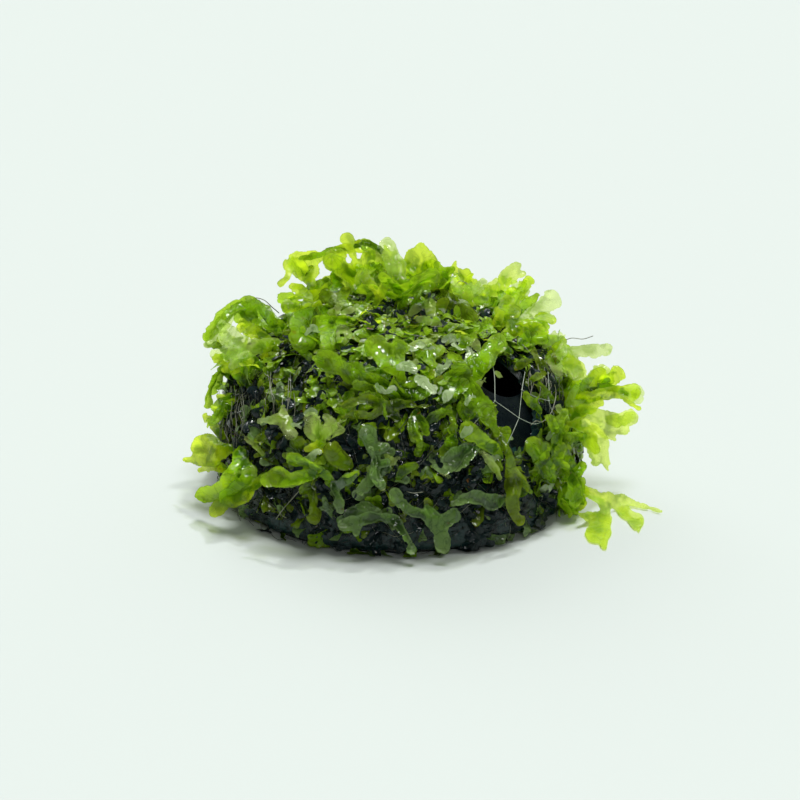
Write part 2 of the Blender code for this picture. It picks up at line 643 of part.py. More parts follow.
# Flat points along every arm with their depth
def leafBones(arms):
    bones = []
    for arm in arms:
        for index in range(len(arm) - 1):
            a, b = arm[index], arm[index + 1]
            for part in range(bonePieces + (index == len(arm) - 2)):
                share = part / bonePieces
                spot = Vector(a[:2]).lerp(Vector(b[:2]), share)
                bones.append((spot, a[2] * (1 - share) + b[2] * share))
    return bones


# Depth of the sheet at a flat point, blended from the arms' own depths
def leafDepth(point, bones):
    total = weight = 0.0
    for spot, depth in bones:
        share = ((point - spot).length_squared + boneSoft ** 2) ** -boneFade
        total += depth * share
        weight += share
    return total / weight


# Closed sheet of even thickness from a drawing, bent over the dome and ruffled away from its root
def leafMesh(name, drawing, turn):
    frame = viewFrame(turn)
    arms = [[planeSpot(node, frame) for node in arm] for arm in drawing]
    flat, triangles = leafOutline(arms)
    bones = leafBones(arms)
    root = Vector(arms[0][0][:2])
    near, far = [], []
    for point in flat:
        free = min(1.0, (point - root).length / ruffleFree)
        wave = noise.noise(Vector((point.x, point.y, turn * mm)) / ruffleLong) * ruffleHigh * free
        depth = leafDepth(point, bones) + wave
        for side, push in ((near, -sheetThick / 2), (far, sheetThick / 2)):
            spot = toWorld(*point, depth + push, frame)
            if spot.z < floorClear - sheetThick / 2:
                spot -= frame[2] * ((spot.z - floorClear + sheetThick / 2) / frame[2].z)
            side.append(spot)
    count = len(flat)
    faces = []
    for triangle in triangles:
        faces += [list(triangle), [corner + count for corner in reversed(triangle)]]
    for a, b in rimEdges(triangles):
        faces.append([a + count, b + count, b, a])
    return meshFrom(name, near + far, faces)


# Moves the whole part so that its box stands centred on the origin
def placeOnBoxCentre(parent, parts):
    bpy.context.view_layer.update()
    graph = bpy.context.evaluated_depsgraph_get()
    corners = [corner for part in parts for corner in part.evaluated_get(graph).bound_box]
    for axis in (0, 1):
        values = [corner[axis] for corner in corners]
        parent.location[axis] = -(min(values) + max(values)) / 2
    for part in parts:
        part.parent = parent


# Hollow shell with its window
shellSink = feltThick + fitGap
outerSkin = domeSkin(shellSink, 0.0, shellRings)
innerSkin = domeSkin(shellSink + shellWall, 0.0, shellRings)
points, faces = domeShell(outerSkin, innerSkin, shellRings)
shell = addObject("half_shell", meshFrom("half_shell", points, faces),
                  material("wet_dark_shell", (0.02, 0.028, 0.03), 0.25))
windowPlug = ovalCutter("window_cutter", windowSpot, windowAcross, windowAlong, windowBevel)
cutWith(shell, windowPlug)

# Felt of roots and old leaves over it
outerSkin = domeSkin(0.0, feltFoot, feltRings, feltDip)
innerSkin = domeSkin(feltThick, feltFoot, feltRings)
points, faces = domeShell(outerSkin, innerSkin, feltRings)
felt = addObject("root_felt", meshFrom("root_felt", points, faces),
                 material("dark_root_felt", (0.03, 0.04, 0.02), 0.6))
patchPlug = ovalCutter("patch_cutter", patchSpot, patchAcross, patchAlong, patchBevel)
cutWith(felt, patchPlug)

# Leaves, then the net stretched over the window
parts = [shell, felt, windowPlug, patchPlug]
for name, (tone, turn, arms) in leaves.items():
    colour, roughness = tones[tone]
    parts.append(addObject(name, leafMesh(name, arms, turn), material(f"{name}_green", colour, roughness)))
thread = material("net_thread", (0.55, 0.6, 0.5), 0.4)
parts.append(addObject("net", leafMesh("net", netThreads, 0), thread))

holder = bpy.data.objects.new("part", None)
bpy.context.scene.collection.objects.link(holder)
placeOnBoxCentre(holder, parts)
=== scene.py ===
import math
import random

import bpy
import numpy as np
from mathutils import Matrix, Vector, noise


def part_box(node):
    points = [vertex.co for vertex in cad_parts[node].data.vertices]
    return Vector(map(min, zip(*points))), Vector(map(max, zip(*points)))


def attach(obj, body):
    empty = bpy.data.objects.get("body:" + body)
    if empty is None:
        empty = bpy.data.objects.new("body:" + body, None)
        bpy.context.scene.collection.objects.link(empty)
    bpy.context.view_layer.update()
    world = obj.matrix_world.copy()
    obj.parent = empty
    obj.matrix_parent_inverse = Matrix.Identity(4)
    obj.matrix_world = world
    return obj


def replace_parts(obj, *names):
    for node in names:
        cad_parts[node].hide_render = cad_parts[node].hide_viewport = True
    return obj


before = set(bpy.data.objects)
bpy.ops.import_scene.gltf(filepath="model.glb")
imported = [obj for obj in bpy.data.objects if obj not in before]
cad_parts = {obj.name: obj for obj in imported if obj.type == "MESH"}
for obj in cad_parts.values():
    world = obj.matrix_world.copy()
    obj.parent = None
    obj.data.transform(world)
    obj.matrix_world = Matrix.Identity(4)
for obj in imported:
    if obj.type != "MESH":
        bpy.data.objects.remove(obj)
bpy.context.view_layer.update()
print("frame loaded:", len(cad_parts), "solids")

mm = 0.001
tiny = 1e-12        # keeps a division off zero
noiseSpan = 90      # over which the seeds of noises are spread
shellLow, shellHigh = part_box("half_shell")
# foot of the dome's axis: every shape below is worked out from here, then moved to its place
middle = Vector(((shellLow[0] + shellHigh[0]) / 2, (shellLow[1] + shellHigh[1]) / 2, 0))

dome = {
    "radius": 52 * mm,
    "height": 51.5 * mm,
    "shoulder": 3.0,        # 2 would be a plain ellipsoid
    "feltThick": 3.6 * mm,
    "fitGap": 0.35 * mm,
    "shellWall": 4.0 * mm,
    "floorClear": 0.85 * mm,
}

photoView = {
    "tilt": math.radians(22),
    "away": 800 * mm,
    "pixel": 0.29 * mm,     # what one picture column covers at the dome's foot
    "size": 800,
    "footColumn": 399,
    "footRow": 482,
    "sensor": 36.0,
    "sightBack": 120 * mm,
    "sightStride": 1.5 * mm,
    "sightHalvings": 14,
    "sightEnd": 3,          # strides before the floor within which a line ends on the floor
}


# Views and the dome

def viewFrame(turn):
    # right, up and into of the photo's view, turned in degrees about Z
    spin = Matrix.Rotation(math.radians(turn), 3, "Z")
    right = spin @ Vector((1, 0, 0))
    up = spin @ Vector((0, math.sin(photoView["tilt"]), math.cos(photoView["tilt"])))
    into = spin @ Vector((0, math.cos(photoView["tilt"]), -math.sin(photoView["tilt"])))
    return right, up, into


def viewTarget(right, up):
    # the point that the picture's middle shows
    half = photoView["size"] / 2
    pixel = photoView["pixel"]
    return right * (half - photoView["footColumn"]) * pixel + up * (photoView["footRow"] - half) * pixel


def domeReach(ways, sink=0.0):
    # distance from the foot centre to the dome along unit directions, one row each
    level = np.hypot(ways[:, 0], ways[:, 1]) / (dome["radius"] - sink)
    rise = np.abs(ways[:, 2]) / (dome["height"] - sink)
    return (level ** dome["shoulder"] + rise ** dome["shoulder"]) ** (-1 / dome["shoulder"])


def reachOf(way, sink=0.0):
    return float(domeReach(np.array([way]), sink)[0])


def meetDome(start, line, lift, sink=0.0):
    # where a line meets the dome raised by lift, or comes nearest to it
    count = int(2 * photoView["sightBack"] / photoView["sightStride"])
    steps = np.arange(count) * photoView["sightStride"]
    spots = np.array(start) + steps[:, None] * np.array(line)
    away = np.linalg.norm(spots, axis=1)
    over = away - domeReach(spots / away[:, None], sink) - lift
    low = spots[:, 2] < dome["floorClear"]
    floorAt = int(np.argmax(low)) if low.any() else count
    inside = over[:floorAt] <= 0
    if inside.any():
        first = int(np.argmax(inside))
        near, far = steps[first] - photoView["sightStride"], steps[first]
        for _ in range(photoView["sightHalvings"]):
            half = (near + far) / 2
            spot = start + line * half
            if spot.length - reachOf(spot / spot.length, sink) > lift:
                near = half
            else:
                far = half
        return far
    best = int(np.argmin(over[:floorAt]))
    if floorAt == count or best < floorAt - photoView["sightEnd"]:
        return float(steps[best])
    return (dome["floorClear"] - start.z) / line.z


def planeSpot(node, frameOfView):
    # right, up, into and half width of a drawn point, with the perspective taken out
    column, row, lift, half, *ahead = node
    right, up, into = frameOfView
    pixel, centre = photoView["pixel"], photoView["size"] / 2
    eye = viewTarget(right, up) - into * photoView["away"]
    line = into * photoView["away"] + (right * (column - centre) + up * (centre - row)) * pixel
    line = line.normalized()
    away = photoView["away"] - photoView["sightBack"]
    away += meetDome(eye + line * away, line, lift * mm) - sum(ahead) * mm
    spot = eye + line * away
    width = half * pixel * away / photoView["away"]
    return spot.dot(right), spot.dot(up), spot.dot(into), width


def drawnCurves(drawing, frameOfView):
    return [smoothArm([planeSpot(node, frameOfView) for node in arm]) for arm in drawing]


# Thin sheets: the outline is where a smooth field of distances to the arms is zero

sheet = {
    "curveSteps": 5,            # points between two drawn points of an arm
    "thinnest": 0.15 * mm,      # half width
    "webbing": 1.0 * mm,        # how far the fork between two arms fills in
    "lobe": 0.24, "lobeLong": 2.8 * mm,
    "ragged": ((2.4 * mm, 0.42 * mm), (1.1 * mm, 0.17 * mm)),
    "bites": (3, 8), "biteHalf": (0.35 * mm, 0.85 * mm), "biteDeep": (0.2, 0.7),
    "boneSoft": 0.8 * mm, "boneFade": 1.5, "sideFade": 2.0,     # how fast an arm's pull fades with distance
    "rootFree": 6 * mm,         # the length from the root over which folds set in
}
lattice = {
    # in pitches: how far past the outline points are kept at first, and which ones move onto it
    "margin": 4, "keep": 0.5, "rim": -0.45,
    "nudge": 0.05, "steepest": 0.25, "moves": 2,
}


def smoothArm(arm):
    # a curve through the drawn points of an arm, with its depth and half width
    nodes = np.array(arm, float)
    padded = np.vstack([2 * nodes[0] - nodes[1], nodes, 2 * nodes[-1] - nodes[-2]])
    out = []
    for index in range(len(nodes) - 1):
        a, b, c, d = padded[index:index + 4]
        for step in range(sheet["curveSteps"]):
            t = step / sheet["curveSteps"]
            out.append(0.5 * (2 * b + (c - a) * t + (2 * a - 5 * b + 4 * c - d) * t ** 2
                              + (3 * b - a - 3 * c + d) * t ** 3))
    out.append(nodes[-1])
    out = np.array(out)
    out[:, 3] = np.maximum(out[:, 3], sheet["thinnest"])
    return out


def armField(points, curve):
    # distance to one arm's margin, negative inside
    start, end = curve[:-1], curve[1:]
    along = end[:, :2] - start[:, :2]
    size = (along ** 2).sum(axis=1) + tiny
    gap = points[:, None, :] - start[None, :, :2]
    share = np.clip((gap * along).sum(axis=2) / size, 0, 1)
    near = gap - share[:, :, None] * along
    half = start[:, 3] + share * (end[:, 3] - start[:, 3])
    return (np.linalg.norm(near, axis=2) - half).min(axis=1)


def joinField(points, curves, bites=()):
    total = None
    for curve in curves:
        value = armField(points, curve)
        if total is None:
            total = value
            continue
        blend = np.maximum(sheet["webbing"] - np.abs(total - value), 0) / sheet["webbing"]
        total = np.minimum(total, value) - blend ** 2 * sheet["webbing"] / 4
    for x, y, half in bites:
        total = np.maximum(total, half - np.hypot(points[:, 0] - x, points[:, 1] - y))
    return total


def wavyWidths(curve, rng):
    # ribbons of this plant widen and narrow along their way
    steps = np.linalg.norm(np.diff(curve[:, :2], axis=0), axis=1)
    along = np.concatenate([[0], np.cumsum(steps)])
    start = noiseSeed(rng)
    wave = np.array([noise.noise(Vector((spot / sheet["lobeLong"], start, 0))) for spot in along])
    out = curve.copy()
    out[:, 3] *= 1 + 2 * sheet["lobe"] * wave
    return out


def marginBites(curves, rng):
    # small torn places on the margin
    bites = []
    for _ in range(rng.randint(*sheet["bites"])):
        curve = rng.choice(curves)
        spot = curve[rng.randrange(len(curve) // 2, len(curve))]
        turn = anyTurn(rng)
        half = rng.uniform(*sheet["biteHalf"])
        away = spot[3] + half * rng.uniform(*sheet["biteDeep"])
        centre = np.array([[spot[0] + away * math.cos(turn), spot[1] + away * math.sin(turn)]])
        if joinField(centre, curves)[0] > 0:
            bites.append((*centre[0], half))
    return bites


def unitRows(rows):
    return rows / (np.linalg.norm(rows, axis=1)[:, None] + tiny)


def acrossArms(points, curves):
    # signed distance to the side of the nearest arms
    bones = np.vstack([curve[:, :2] for curve in curves])
    ways = unitRows(np.vstack([np.gradient(curve[:, :2], axis=0) for curve in curves]))
    gap = points[:, None, :] - bones[None, :, :]
    side = gap[:, :, 0] * ways[None, :, 1] - gap[:, :, 1] * ways[None, :, 0]
    share = ((gap ** 2).sum(axis=2) + sheet["boneSoft"] ** 2) ** -sheet["sideFade"]
    return (share * side).sum(axis=1) / share.sum(axis=1)


def boneDepth(points, curves):
    bones = np.vstack(curves)
    gap = ((points[:, None, :] - bones[None, :, :2]) ** 2).sum(axis=2)
    share = (gap + sheet["boneSoft"] ** 2) ** -sheet["boneFade"]
    return (share * bones[None, :, 2]).sum(axis=1) / share.sum(axis=1)


def noiseAt(points, long, seed):
    return np.array([noise.noise(Vector((x / long, y / long, seed))) for x, y in points])


def noiseSeed(rng):
    return rng.uniform(0, noiseSpan)


def anyTurn(rng):
    return rng.uniform(0, 2 * math.pi)


def anyWay(rng):
    return np.array([rng.uniform(-1, 1) for _ in range(3)])


def latticeOver(curves, pitch):
    # points and faces of a three-cornered lattice that covers the arms
    every = np.vstack(curves)
    low = (every[:, :2] - every[:, 3:]).min(axis=0) - 2 * pitch
    high = (every[:, :2] + every[:, 3:]).max(axis=0) + 2 * pitch
    rise = pitch * math.sqrt(3) / 2
    columns = int((high[0] - low[0]) / pitch) + 2
    rows = int((high[1] - low[1]) / rise) + 2
    across, up = np.meshgrid(np.arange(columns), np.arange(rows))
    points = np.stack([low[0] + (across + 0.5 * (up % 2)) * pitch, low[1] + up * rise], axis=2).reshape(-1, 2)
    index = np.arange(rows * columns).reshape(rows, columns)
    a, b, c, d = index[:-1, :-1], index[:-1, 1:], index[1:, :-1], index[1:, 1:]
    odd = (np.arange(rows - 1) % 2 == 1)[:, None, None]
    first = np.where(odd, np.stack([a, b, d], 2), np.stack([a, b, c], 2)).reshape(-1, 3)
    second = np.where(odd, np.stack([a, d, c], 2), np.stack([b, d, c], 2)).reshape(-1, 3)
    return points, np.vstack([first, second])


def flatSheet(curves, pitch, seed, ragged=1.0, bites=()):
    # the lattice inside the outline, with its outer points drawn onto the outline
    points, faces = latticeOver(curves, pitch)
    close = joinField(points, curves, bites)
    wanted = np.abs(close) < lattice["margin"] * pitch
    wave = np.zeros(len(points))
    for long, high in sheet["ragged"]:
        wave[wanted] += noiseAt(points[wanted], long, seed) * high * ragged
    value = close + wave
    faces = faces[(value < lattice["keep"] * pitch)[faces].all(axis=1)]
    used, faces = np.unique(faces, return_inverse=True)
    faces = faces.reshape(-1, 3)
    points, wave, value = points[used], wave[used], value[used]
    rim = value > lattice["rim"] * pitch
    nudge = lattice["nudge"] * pitch
    for _ in range(lattice["moves"]):
        spots = points[rim]
        here, right, above = (joinField(spots + np.array(step), curves, bites) + wave[rim]
                              for step in ((0, 0), (nudge, 0), (0, nudge)))
        slope = np.stack([right - here, above - here], axis=1) / nudge
        slope /= np.maximum((slope ** 2).sum(axis=1), lattice["steepest"])[:, None]
        points[rim] = spots - slope * here[:, None]
    margin = np.clip(-joinField(points, curves, bites), 0, None)
    return points, faces, margin


def meshObject(name, points, faces, **marks):
    mesh = bpy.data.meshes.new(name)
    mesh.from_pydata([tuple(point) for point in points], [], [tuple(int(i) for i in face) for face in faces])
    for mark, values in marks.items():
        layer = mesh.attributes.new(mark, "FLOAT", "POINT")
        layer.data.foreach_set("value", np.asarray(values, np.float32))
    mesh.validate()
    mesh.shade_smooth()
    made = bpy.data.objects.new(name, mesh)
    bpy.context.scene.collection.objects.link(made)
    made.location = middle
    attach(made, "root")
    return made


class Heap:
    # gathers many small sheets into one mesh, with marks on each point that the material reads
    def __init__(self):
        self.points = []
        self.faces = []
        self.marks = {"margin": [], "reach": [], "tint": [], "fold": []}
        self.count = 0

    def add(self, points, faces, **marks):
        self.points.append(points)
        self.faces.append(np.asarray(faces) + self.count)
        for mark, values in marks.items():
            self.marks[mark].append(values)
        self.count += len(points)

    def build(self, name, look, slot):
        marks = {mark: np.concatenate(values) for mark, values in self.marks.items() if values}
        made = meshObject(name, np.vstack(self.points), np.vstack(self.faces), **marks)
        made.data.materials.append(look)
        return made


# Materials

def newLook(name):
    look = bpy.data.materials.new(name)
    look.use_nodes = True
    look.node_tree.nodes.clear()
    return look, look.node_tree


def addNode(tree, kind, inputs=None, **settings):
    made = tree.nodes.new(kind)
    for key, value in settings.items():
        setattr(made, key, value)
    for key, value in (inputs or {}).items():
        if isinstance(value, bpy.types.NodeSocket):
            tree.links.new(value, made.inputs[key])
        else:
            made.inputs[key].default_value = value
    return made


def noiseNode(tree, place, scale, detail, roughness, distortion):
    made = addNode(tree, "ShaderNodeTexNoise", {
        "Vector": place, "Scale": scale, "Detail": detail, "Roughness": roughness, "Distortion": distortion})
    return made.outputs["Fac"]


def mapNode(tree, value, low, high, outLow=0.0, outHigh=1.0):
    made = addNode(tree, "ShaderNodeMapRange", {
        "Value": value, "From Min": low, "From Max": high, "To Min": outLow, "To Max": outHigh})
    return made.outputs["Result"]


def mixNode(tree, share, first, second):
    # the node's inputs 6 and 7 and its output 2 are its colours
    made = addNode(tree, "ShaderNodeMix", {0: share}, data_type="RGBA", clamp_factor=True)
    for key, value in ((6, first), (7, second)):
        if isinstance(value, bpy.types.NodeSocket):
            tree.links.new(value, made.inputs[key])
        else:
            made.inputs[key].default_value = (*value, 1.0)
    return made.outputs[2]


def mathNode(tree, kind, first, second=0.0):
    made = addNode(tree, "ShaderNodeMath", {0: first, 1: second}, operation=kind)
    return made.outputs[0]


def markNode(tree, name):
    return addNode(tree, "ShaderNodeAttribute", attribute_name=name).outputs["Fac"]


def bumpNode(tree, height, strength, distance, normal=None):
    made = addNode(tree, "ShaderNodeBump", {"Height": height, "Strength": strength, "Distance": distance})
    if normal is not None:
        tree.links.new(normal, made.inputs["Normal"])
    return made.outputs["Normal"]


def blendShaders(tree, share, first, second):
    return addNode(tree, "ShaderNodeMixShader", {0: share, 1: first.outputs[0], 2: second.outputs[0]})


def finishLook(tree, shader):
    out = addNode(tree, "ShaderNodeOutputMaterial")
    tree.links.new(shader.outputs[0], out.inputs["Surface"])


# Living tissue: deep is the colour of thick places and of painted shade in hollows, creases and towards the
# root, light that of rims and tips, partly painted light shining through them, the sheen patch colour a
# painted reflection of the lamps on the wet skin, glow what lights it from behind, tint what is seen through
# it, clear how much is, and film the water on it where that isn't the usual
tissue = {
    "bright": {"deep": (0.14, 0.30, 0.001), "main": (0.61, 0.87, 0.005), "light": (0.76, 0.92, 0.10),
               "paintedSheenPatch": (0.70, 0.84, 0.20), "glow": (0.82, 0.98, 0.01), "tint": (0.80, 0.95, 0.12),
               "through": 0.68, "clear": 0.22},
    "pale": {"deep": (0.32, 0.50, 0.03), "main": (0.64, 0.80, 0.20), "light": (0.82, 0.93, 0.46),
             "paintedSheenPatch": (0.80, 0.92, 0.56), "glow": (0.80, 0.96, 0.26), "tint": (0.86, 0.97, 0.46),
             "through": 0.6, "clear": 0.45},
    # a lighter, clearer copy of the bright tone: painted light for thin leaves with the light behind them
    "paintedBacklit": {"deep": (0.30, 0.51, 0.003), "main": (0.71, 0.91, 0.03), "light": (0.82, 0.93, 0.36),
             "paintedSheenPatch": (0.76, 0.88, 0.40), "glow": (0.86, 0.98, 0.06), "tint": (0.84, 0.97, 0.26),
             "through": 0.68, "clear": 0.46},
    "fresh": {"deep": (0.06, 0.16, 0.001), "main": (0.33, 0.62, 0.003), "light": (0.54, 0.78, 0.05),
              "paintedSheenPatch": (0.46, 0.66, 0.10), "glow": (0.52, 0.80, 0.01), "tint": (0.58, 0.82, 0.08),
              "through": 0.42, "clear": 0.2},
    "mid": {"deep": (0.028, 0.08, 0.001), "main": (0.19, 0.41, 0.002), "light": (0.40, 0.60, 0.03),
            "paintedSheenPatch": (0.30, 0.48, 0.07), "glow": (0.34, 0.58, 0.01), "tint": (0.42, 0.64, 0.06),
            "through": 0.34, "clear": 0.14, "film": 0.3},
    "olive": {"deep": (0.024, 0.054, 0.001), "main": (0.15, 0.28, 0.002), "light": (0.35, 0.46, 0.03),
              "paintedSheenPatch": (0.27, 0.38, 0.06), "glow": (0.34, 0.50, 0.01), "tint": (0.44, 0.58, 0.06),
              "through": 0.34, "clear": 0.14},
    # a pale tone for whole small leaves: a painted reflection of the lamps on wet leaves
    "sheen": {"deep": (0.20, 0.33, 0.08), "main": (0.50, 0.63, 0.33), "light": (0.78, 0.87, 0.60),
              "paintedSheenPatch": (0.84, 0.92, 0.76), "glow": (0.60, 0.78, 0.30), "tint": (0.70, 0.85, 0.50),
              "through": 0.35, "clear": 0.15},
    # a darker copy of the mid tone: painted shade for leaves in the lower shade
    "paintedShade": {"deep": (0.022, 0.056, 0.008), "main": (0.16, 0.32, 0.05), "light": (0.48, 0.68, 0.26),
             "paintedSheenPatch": (0.30, 0.42, 0.26), "glow": (0.24, 0.40, 0.05), "tint": (0.44, 0.58, 0.26),
             "through": 0.3, "clear": 0.24},
    "dark": {"deep": (0.002, 0.005, 0.006), "main": (0.007, 0.015, 0.017), "light": (0.022, 0.040, 0.040),
             "paintedSheenPatch": (0.04, 0.062, 0.066), "glow": (0.02, 0.04, 0.01), "tint": (0.1, 0.15, 0.05),
             "through": 0.10, "clear": 0.05, "film": 0.08},
}
# Noises in the tissue: scale per metre, detail, roughness, distortion
tissueNoise = {
    "blotch": (230, 4.0, 0.6, 0.4), "paintedSheenPatch": (190, 2.0, 0.5, 0.6), "grain": (1500, 2.0, 0.55, 0.0),
    "fleck": (420, 2.0, 0.5, 0.8), "crease": (240, 1.0, 0.4, 1.2),
}
tissueGrain = {
    # ranges of the noises that count
    "blotchRange": (0.41, 0.57), "paintedSheenPatchRange": (0.6, 0.68), "grainRange": (0.3, 0.7),
    "fleckRange": (0.71, 0.78), "creaseHalf": 0.06,
    # how far from the margin, and how much of the colour each one changes: rims and tips pale partly with
    # painted light through the thin tissue, crease lines darken with painted shade, and sheen patches paint
    # the lamps' reflection
    "rimWidth": 0.6 * mm, "edgeStart": 0.02 * mm, "edgeWidth": 0.24 * mm,
    "rimShare": 0.32, "tipShare": 0.6, "edgeShare": 0.6, "creaseShadeShare": 0.4,
    "paintedSheenPatchShare": 0.5, "grainShare": 0.22, "fleckShare": 0.7,
    "tipPower": 2.2,            # how late along the leaf its tip pales
    "outer": (0.75, -0.45, 0.25),           # darker towards the root with painted shade, lighter outwards where the tissue is thinner: up to this reach, from and to
    "hollowShade": (0.8 * mm, 0.7),              # painted shade in the hollows of the relief, painted light on its ridges: to this depth, by this much
    "thinClear": (0.45, 1.2), "tipClear": 0.25,
    "bumps": {"blotch": (0.5, 0.55 * mm), "ridge": (0.5, 0.2 * mm), "grain": (0.08, 0.1 * mm)},
    "rough": (0.0425, 0.153), "roughRange": (0.35, 0.65),
    "shine": 0.26, "film": 0.5, "filmRough": 0.025,
    "rust": (0.30, 0.11, 0.015),
}


def tissueNoises(tree):
    place = addNode(tree, "ShaderNodeTexCoord").outputs["Object"]
    noises = {name: noiseNode(tree, place, *values) for name, values in tissueNoise.items()}
    away = mathNode(tree, "ABSOLUTE", mathNode(tree, "SUBTRACT", noises["crease"], 0.5))
    noises["ridge"] = mapNode(tree, away, 0.0, tissueGrain["creaseHalf"])
    return noises


def tissueShares(tree, noises):
    # tip, how thin the tissue is with painted shade in the hollows and towards the root and painted light on
    # the ridges, how pale, and how dark at its lines, with painted shade along the creases
    margin, reach = markNode(tree, "margin"), markNode(tree, "reach")
    start, width = tissueGrain["edgeStart"], tissueGrain["edgeWidth"]
    # a pale band along the margin and paler tips: the thin tissue's own colour, partly painted light that
    # shines through it
    rim = mapNode(tree, margin, 0.0, tissueGrain["rimWidth"], tissueGrain["rimShare"], 0.0)
    edge = mapNode(tree, margin, start, width, tissueGrain["edgeShare"], 0.0)
    # darker along the crease lines that the bump sinks: painted shade
    creaseShade = mapNode(tree, noises["ridge"], 0.0, 0.5, tissueGrain["creaseShadeShare"], 0.0)
    tip = mathNode(tree, "POWER", reach, tissueGrain["tipPower"])
    # darker towards the root and lighter outwards: painted shade towards the root, thinner tissue outwards
    far, inside, outside = tissueGrain["outer"]
    outer = mapNode(tree, reach, 0.0, far, inside, outside)
    depth, share = tissueGrain["hollowShade"]
    # the relief's hollows darker and its ridges lighter: painted shade and painted light
    hollowShade = mapNode(tree, markNode(tree, "fold"), -depth, depth, share, -share)
    tintAndShade = mathNode(tree, "ADD", markNode(tree, "tint"), mathNode(tree, "ADD", outer, hollowShade))
    thinAndLit = mathNode(tree, "ADD", mapNode(tree, noises["blotch"], *tissueGrain["blotchRange"]), tintAndShade)
    paler = mathNode(tree, "ADD", rim, mathNode(tree, "MULTIPLY", tip, tissueGrain["tipShare"]))
    return tip, thinAndLit, paler, mathNode(tree, "MAXIMUM", edge, creaseShade)


def tissueBump(tree, noises):
    bump = None
    for name, (strength, distance) in tissueGrain["bumps"].items():
        bump = bumpNode(tree, noises[name], strength, distance, bump)
    return bump


def tissueLook(tone):
    colours = tissue[tone]
    look, tree = newLook("thallus" + tone.capitalize())
    noises = tissueNoises(tree)
    tip, thinAndLit, paler, lines = tissueShares(tree, noises)

    base = mixNode(tree, thinAndLit, colours["deep"], colours["main"])
    base = mixNode(tree, paler, base, colours["light"])
    # pale patches: a painted reflection of the lamps on the wet skin; then a fine grain of the deep colour
    for name, colour in (("paintedSheenPatch", colours["paintedSheenPatch"]), ("grain", colours["deep"])):
        share = mapNode(tree, noises[name], *tissueGrain[name + "Range"], 0.0, tissueGrain[name + "Share"])
        base = mixNode(tree, share, base, colour)
    base = mixNode(tree, lines, base, colours["deep"])
    fleck = mapNode(tree, noises["fleck"], *tissueGrain["fleckRange"], 0.0, tissueGrain["fleckShare"])
    base = mixNode(tree, fleck, base, tissueGrain["rust"])
    through = mixNode(tree, thinAndLit, colours["deep"], colours["glow"])
    through = mixNode(tree, paler, through, colours["light"])
    through = mixNode(tree, lines, through, colours["deep"])

    bump = tissueBump(tree, noises)
    # the roughness follows the same noise as the painted sheen patches
    rough = mapNode(tree, noises["paintedSheenPatch"], *tissueGrain["roughRange"], *tissueGrain["rough"])
    skin = addNode(tree, "ShaderNodeBsdfPrincipled", {
        "Base Color": base, "Roughness": rough, "Specular IOR Level": tissueGrain["shine"], "Normal": bump,
        "Coat Weight": colours.get("film", tissueGrain["film"]), "Coat Roughness": tissueGrain["filmRough"],
        "Coat Normal": bump})
    glow = addNode(tree, "ShaderNodeBsdfTranslucent", {"Color": through, "Normal": bump})
    clear = addNode(tree, "ShaderNodeBsdfTransparent", {"Color": (*colours["tint"], 1)})
    share = mathNode(tree, "ADD", mathNode(tree, "MULTIPLY", tip, tissueGrain["tipClear"]), colours["clear"])
    share = mathNode(tree, "MULTIPLY", share, mapNode(tree, thinAndLit, 0.0, 1.0, *tissueGrain["thinClear"]))
    finishLook(tree, blendShaders(tree, share, blendShaders(tree, colours["through"], skin, glow), clear))
    return look


# Black or pale wet stuff: dark and light colour, roughness, scale per metre, bump, shine
wetStuff = {
    "shell": ("wetShell", (0.001, 0.003, 0.004), (0.005, 0.009, 0.011), 0.3, 90, 0.25, 0.18),
    "felt": ("wetFelt", (0.001, 0.006, 0.007), (0.010, 0.036, 0.034), 0.2, 260, 0.6, 0.35),
    "hair": ("rootHair", (0.004, 0.004, 0.003), (0.030, 0.030, 0.016), 0.45, 300, 0.2, 0.2),
    "paleHair": ("paleRoot", (0.08, 0.085, 0.05), (0.26, 0.27, 0.19), 0.4, 200, 0.2, 0.5),
    "thread": ("netThread", (0.20, 0.25, 0.18), (0.44, 0.50, 0.40), 0.4, 400, 0.2, 0.5),
    "oldThread": ("oldThread", (0.02, 0.03, 0.015), (0.10, 0.12, 0.07), 0.4, 400, 0.2, 0.5),
}
wetGrain = {
    "patch": (5.0, 0.6, 0.6), "fine": (3.0, 0.6, 0.0),      # detail, roughness, distortion of its two noises
    "finer": 7,                 # times the scale
    "patchRange": (0.35, 0.72), "fineRange": (0.5, 0.8), "fineShare": 0.5,
    "patchHigh": 0.8 * mm, "fineHigh": 0.15 * mm, "fineBump": 0.7,
    "roughRange": (0.3, 0.7), "roughShare": (0.7, 1.35),
}


def wetLook(name, dark, light, rough, scale, bump, shine):
    look, tree = newLook(name)
    place = addNode(tree, "ShaderNodeTexCoord").outputs["Object"]
    patch = noiseNode(tree, place, scale, *wetGrain["patch"])
    fine = noiseNode(tree, place, scale * wetGrain["finer"], *wetGrain["fine"])
    base = mixNode(tree, mapNode(tree, patch, *wetGrain["patchRange"]), dark, light)
    share = mapNode(tree, fine, *wetGrain["fineRange"], 0.0, wetGrain["fineShare"])
    base = mixNode(tree, share, base, light)
    normal = bumpNode(tree, patch, bump, wetGrain["patchHigh"])
    normal = bumpNode(tree, fine, bump * wetGrain["fineBump"], wetGrain["fineHigh"], normal)
    low, high = wetGrain["roughShare"]
    rougher = mapNode(tree, fine, *wetGrain["roughRange"], rough * low, rough * high)
    skin = addNode(tree, "ShaderNodeBsdfPrincipled", {
        "Base Color": base, "Roughness": rougher, "Specular IOR Level": shine, "Normal": normal})
    finishLook(tree, skin)
    return look


looks = {tone: tissueLook(tone) for tone in tissue}
looks.update({kind: wetLook(*values) for kind, values in wetStuff.items()})
print("materials made:", len(looks))


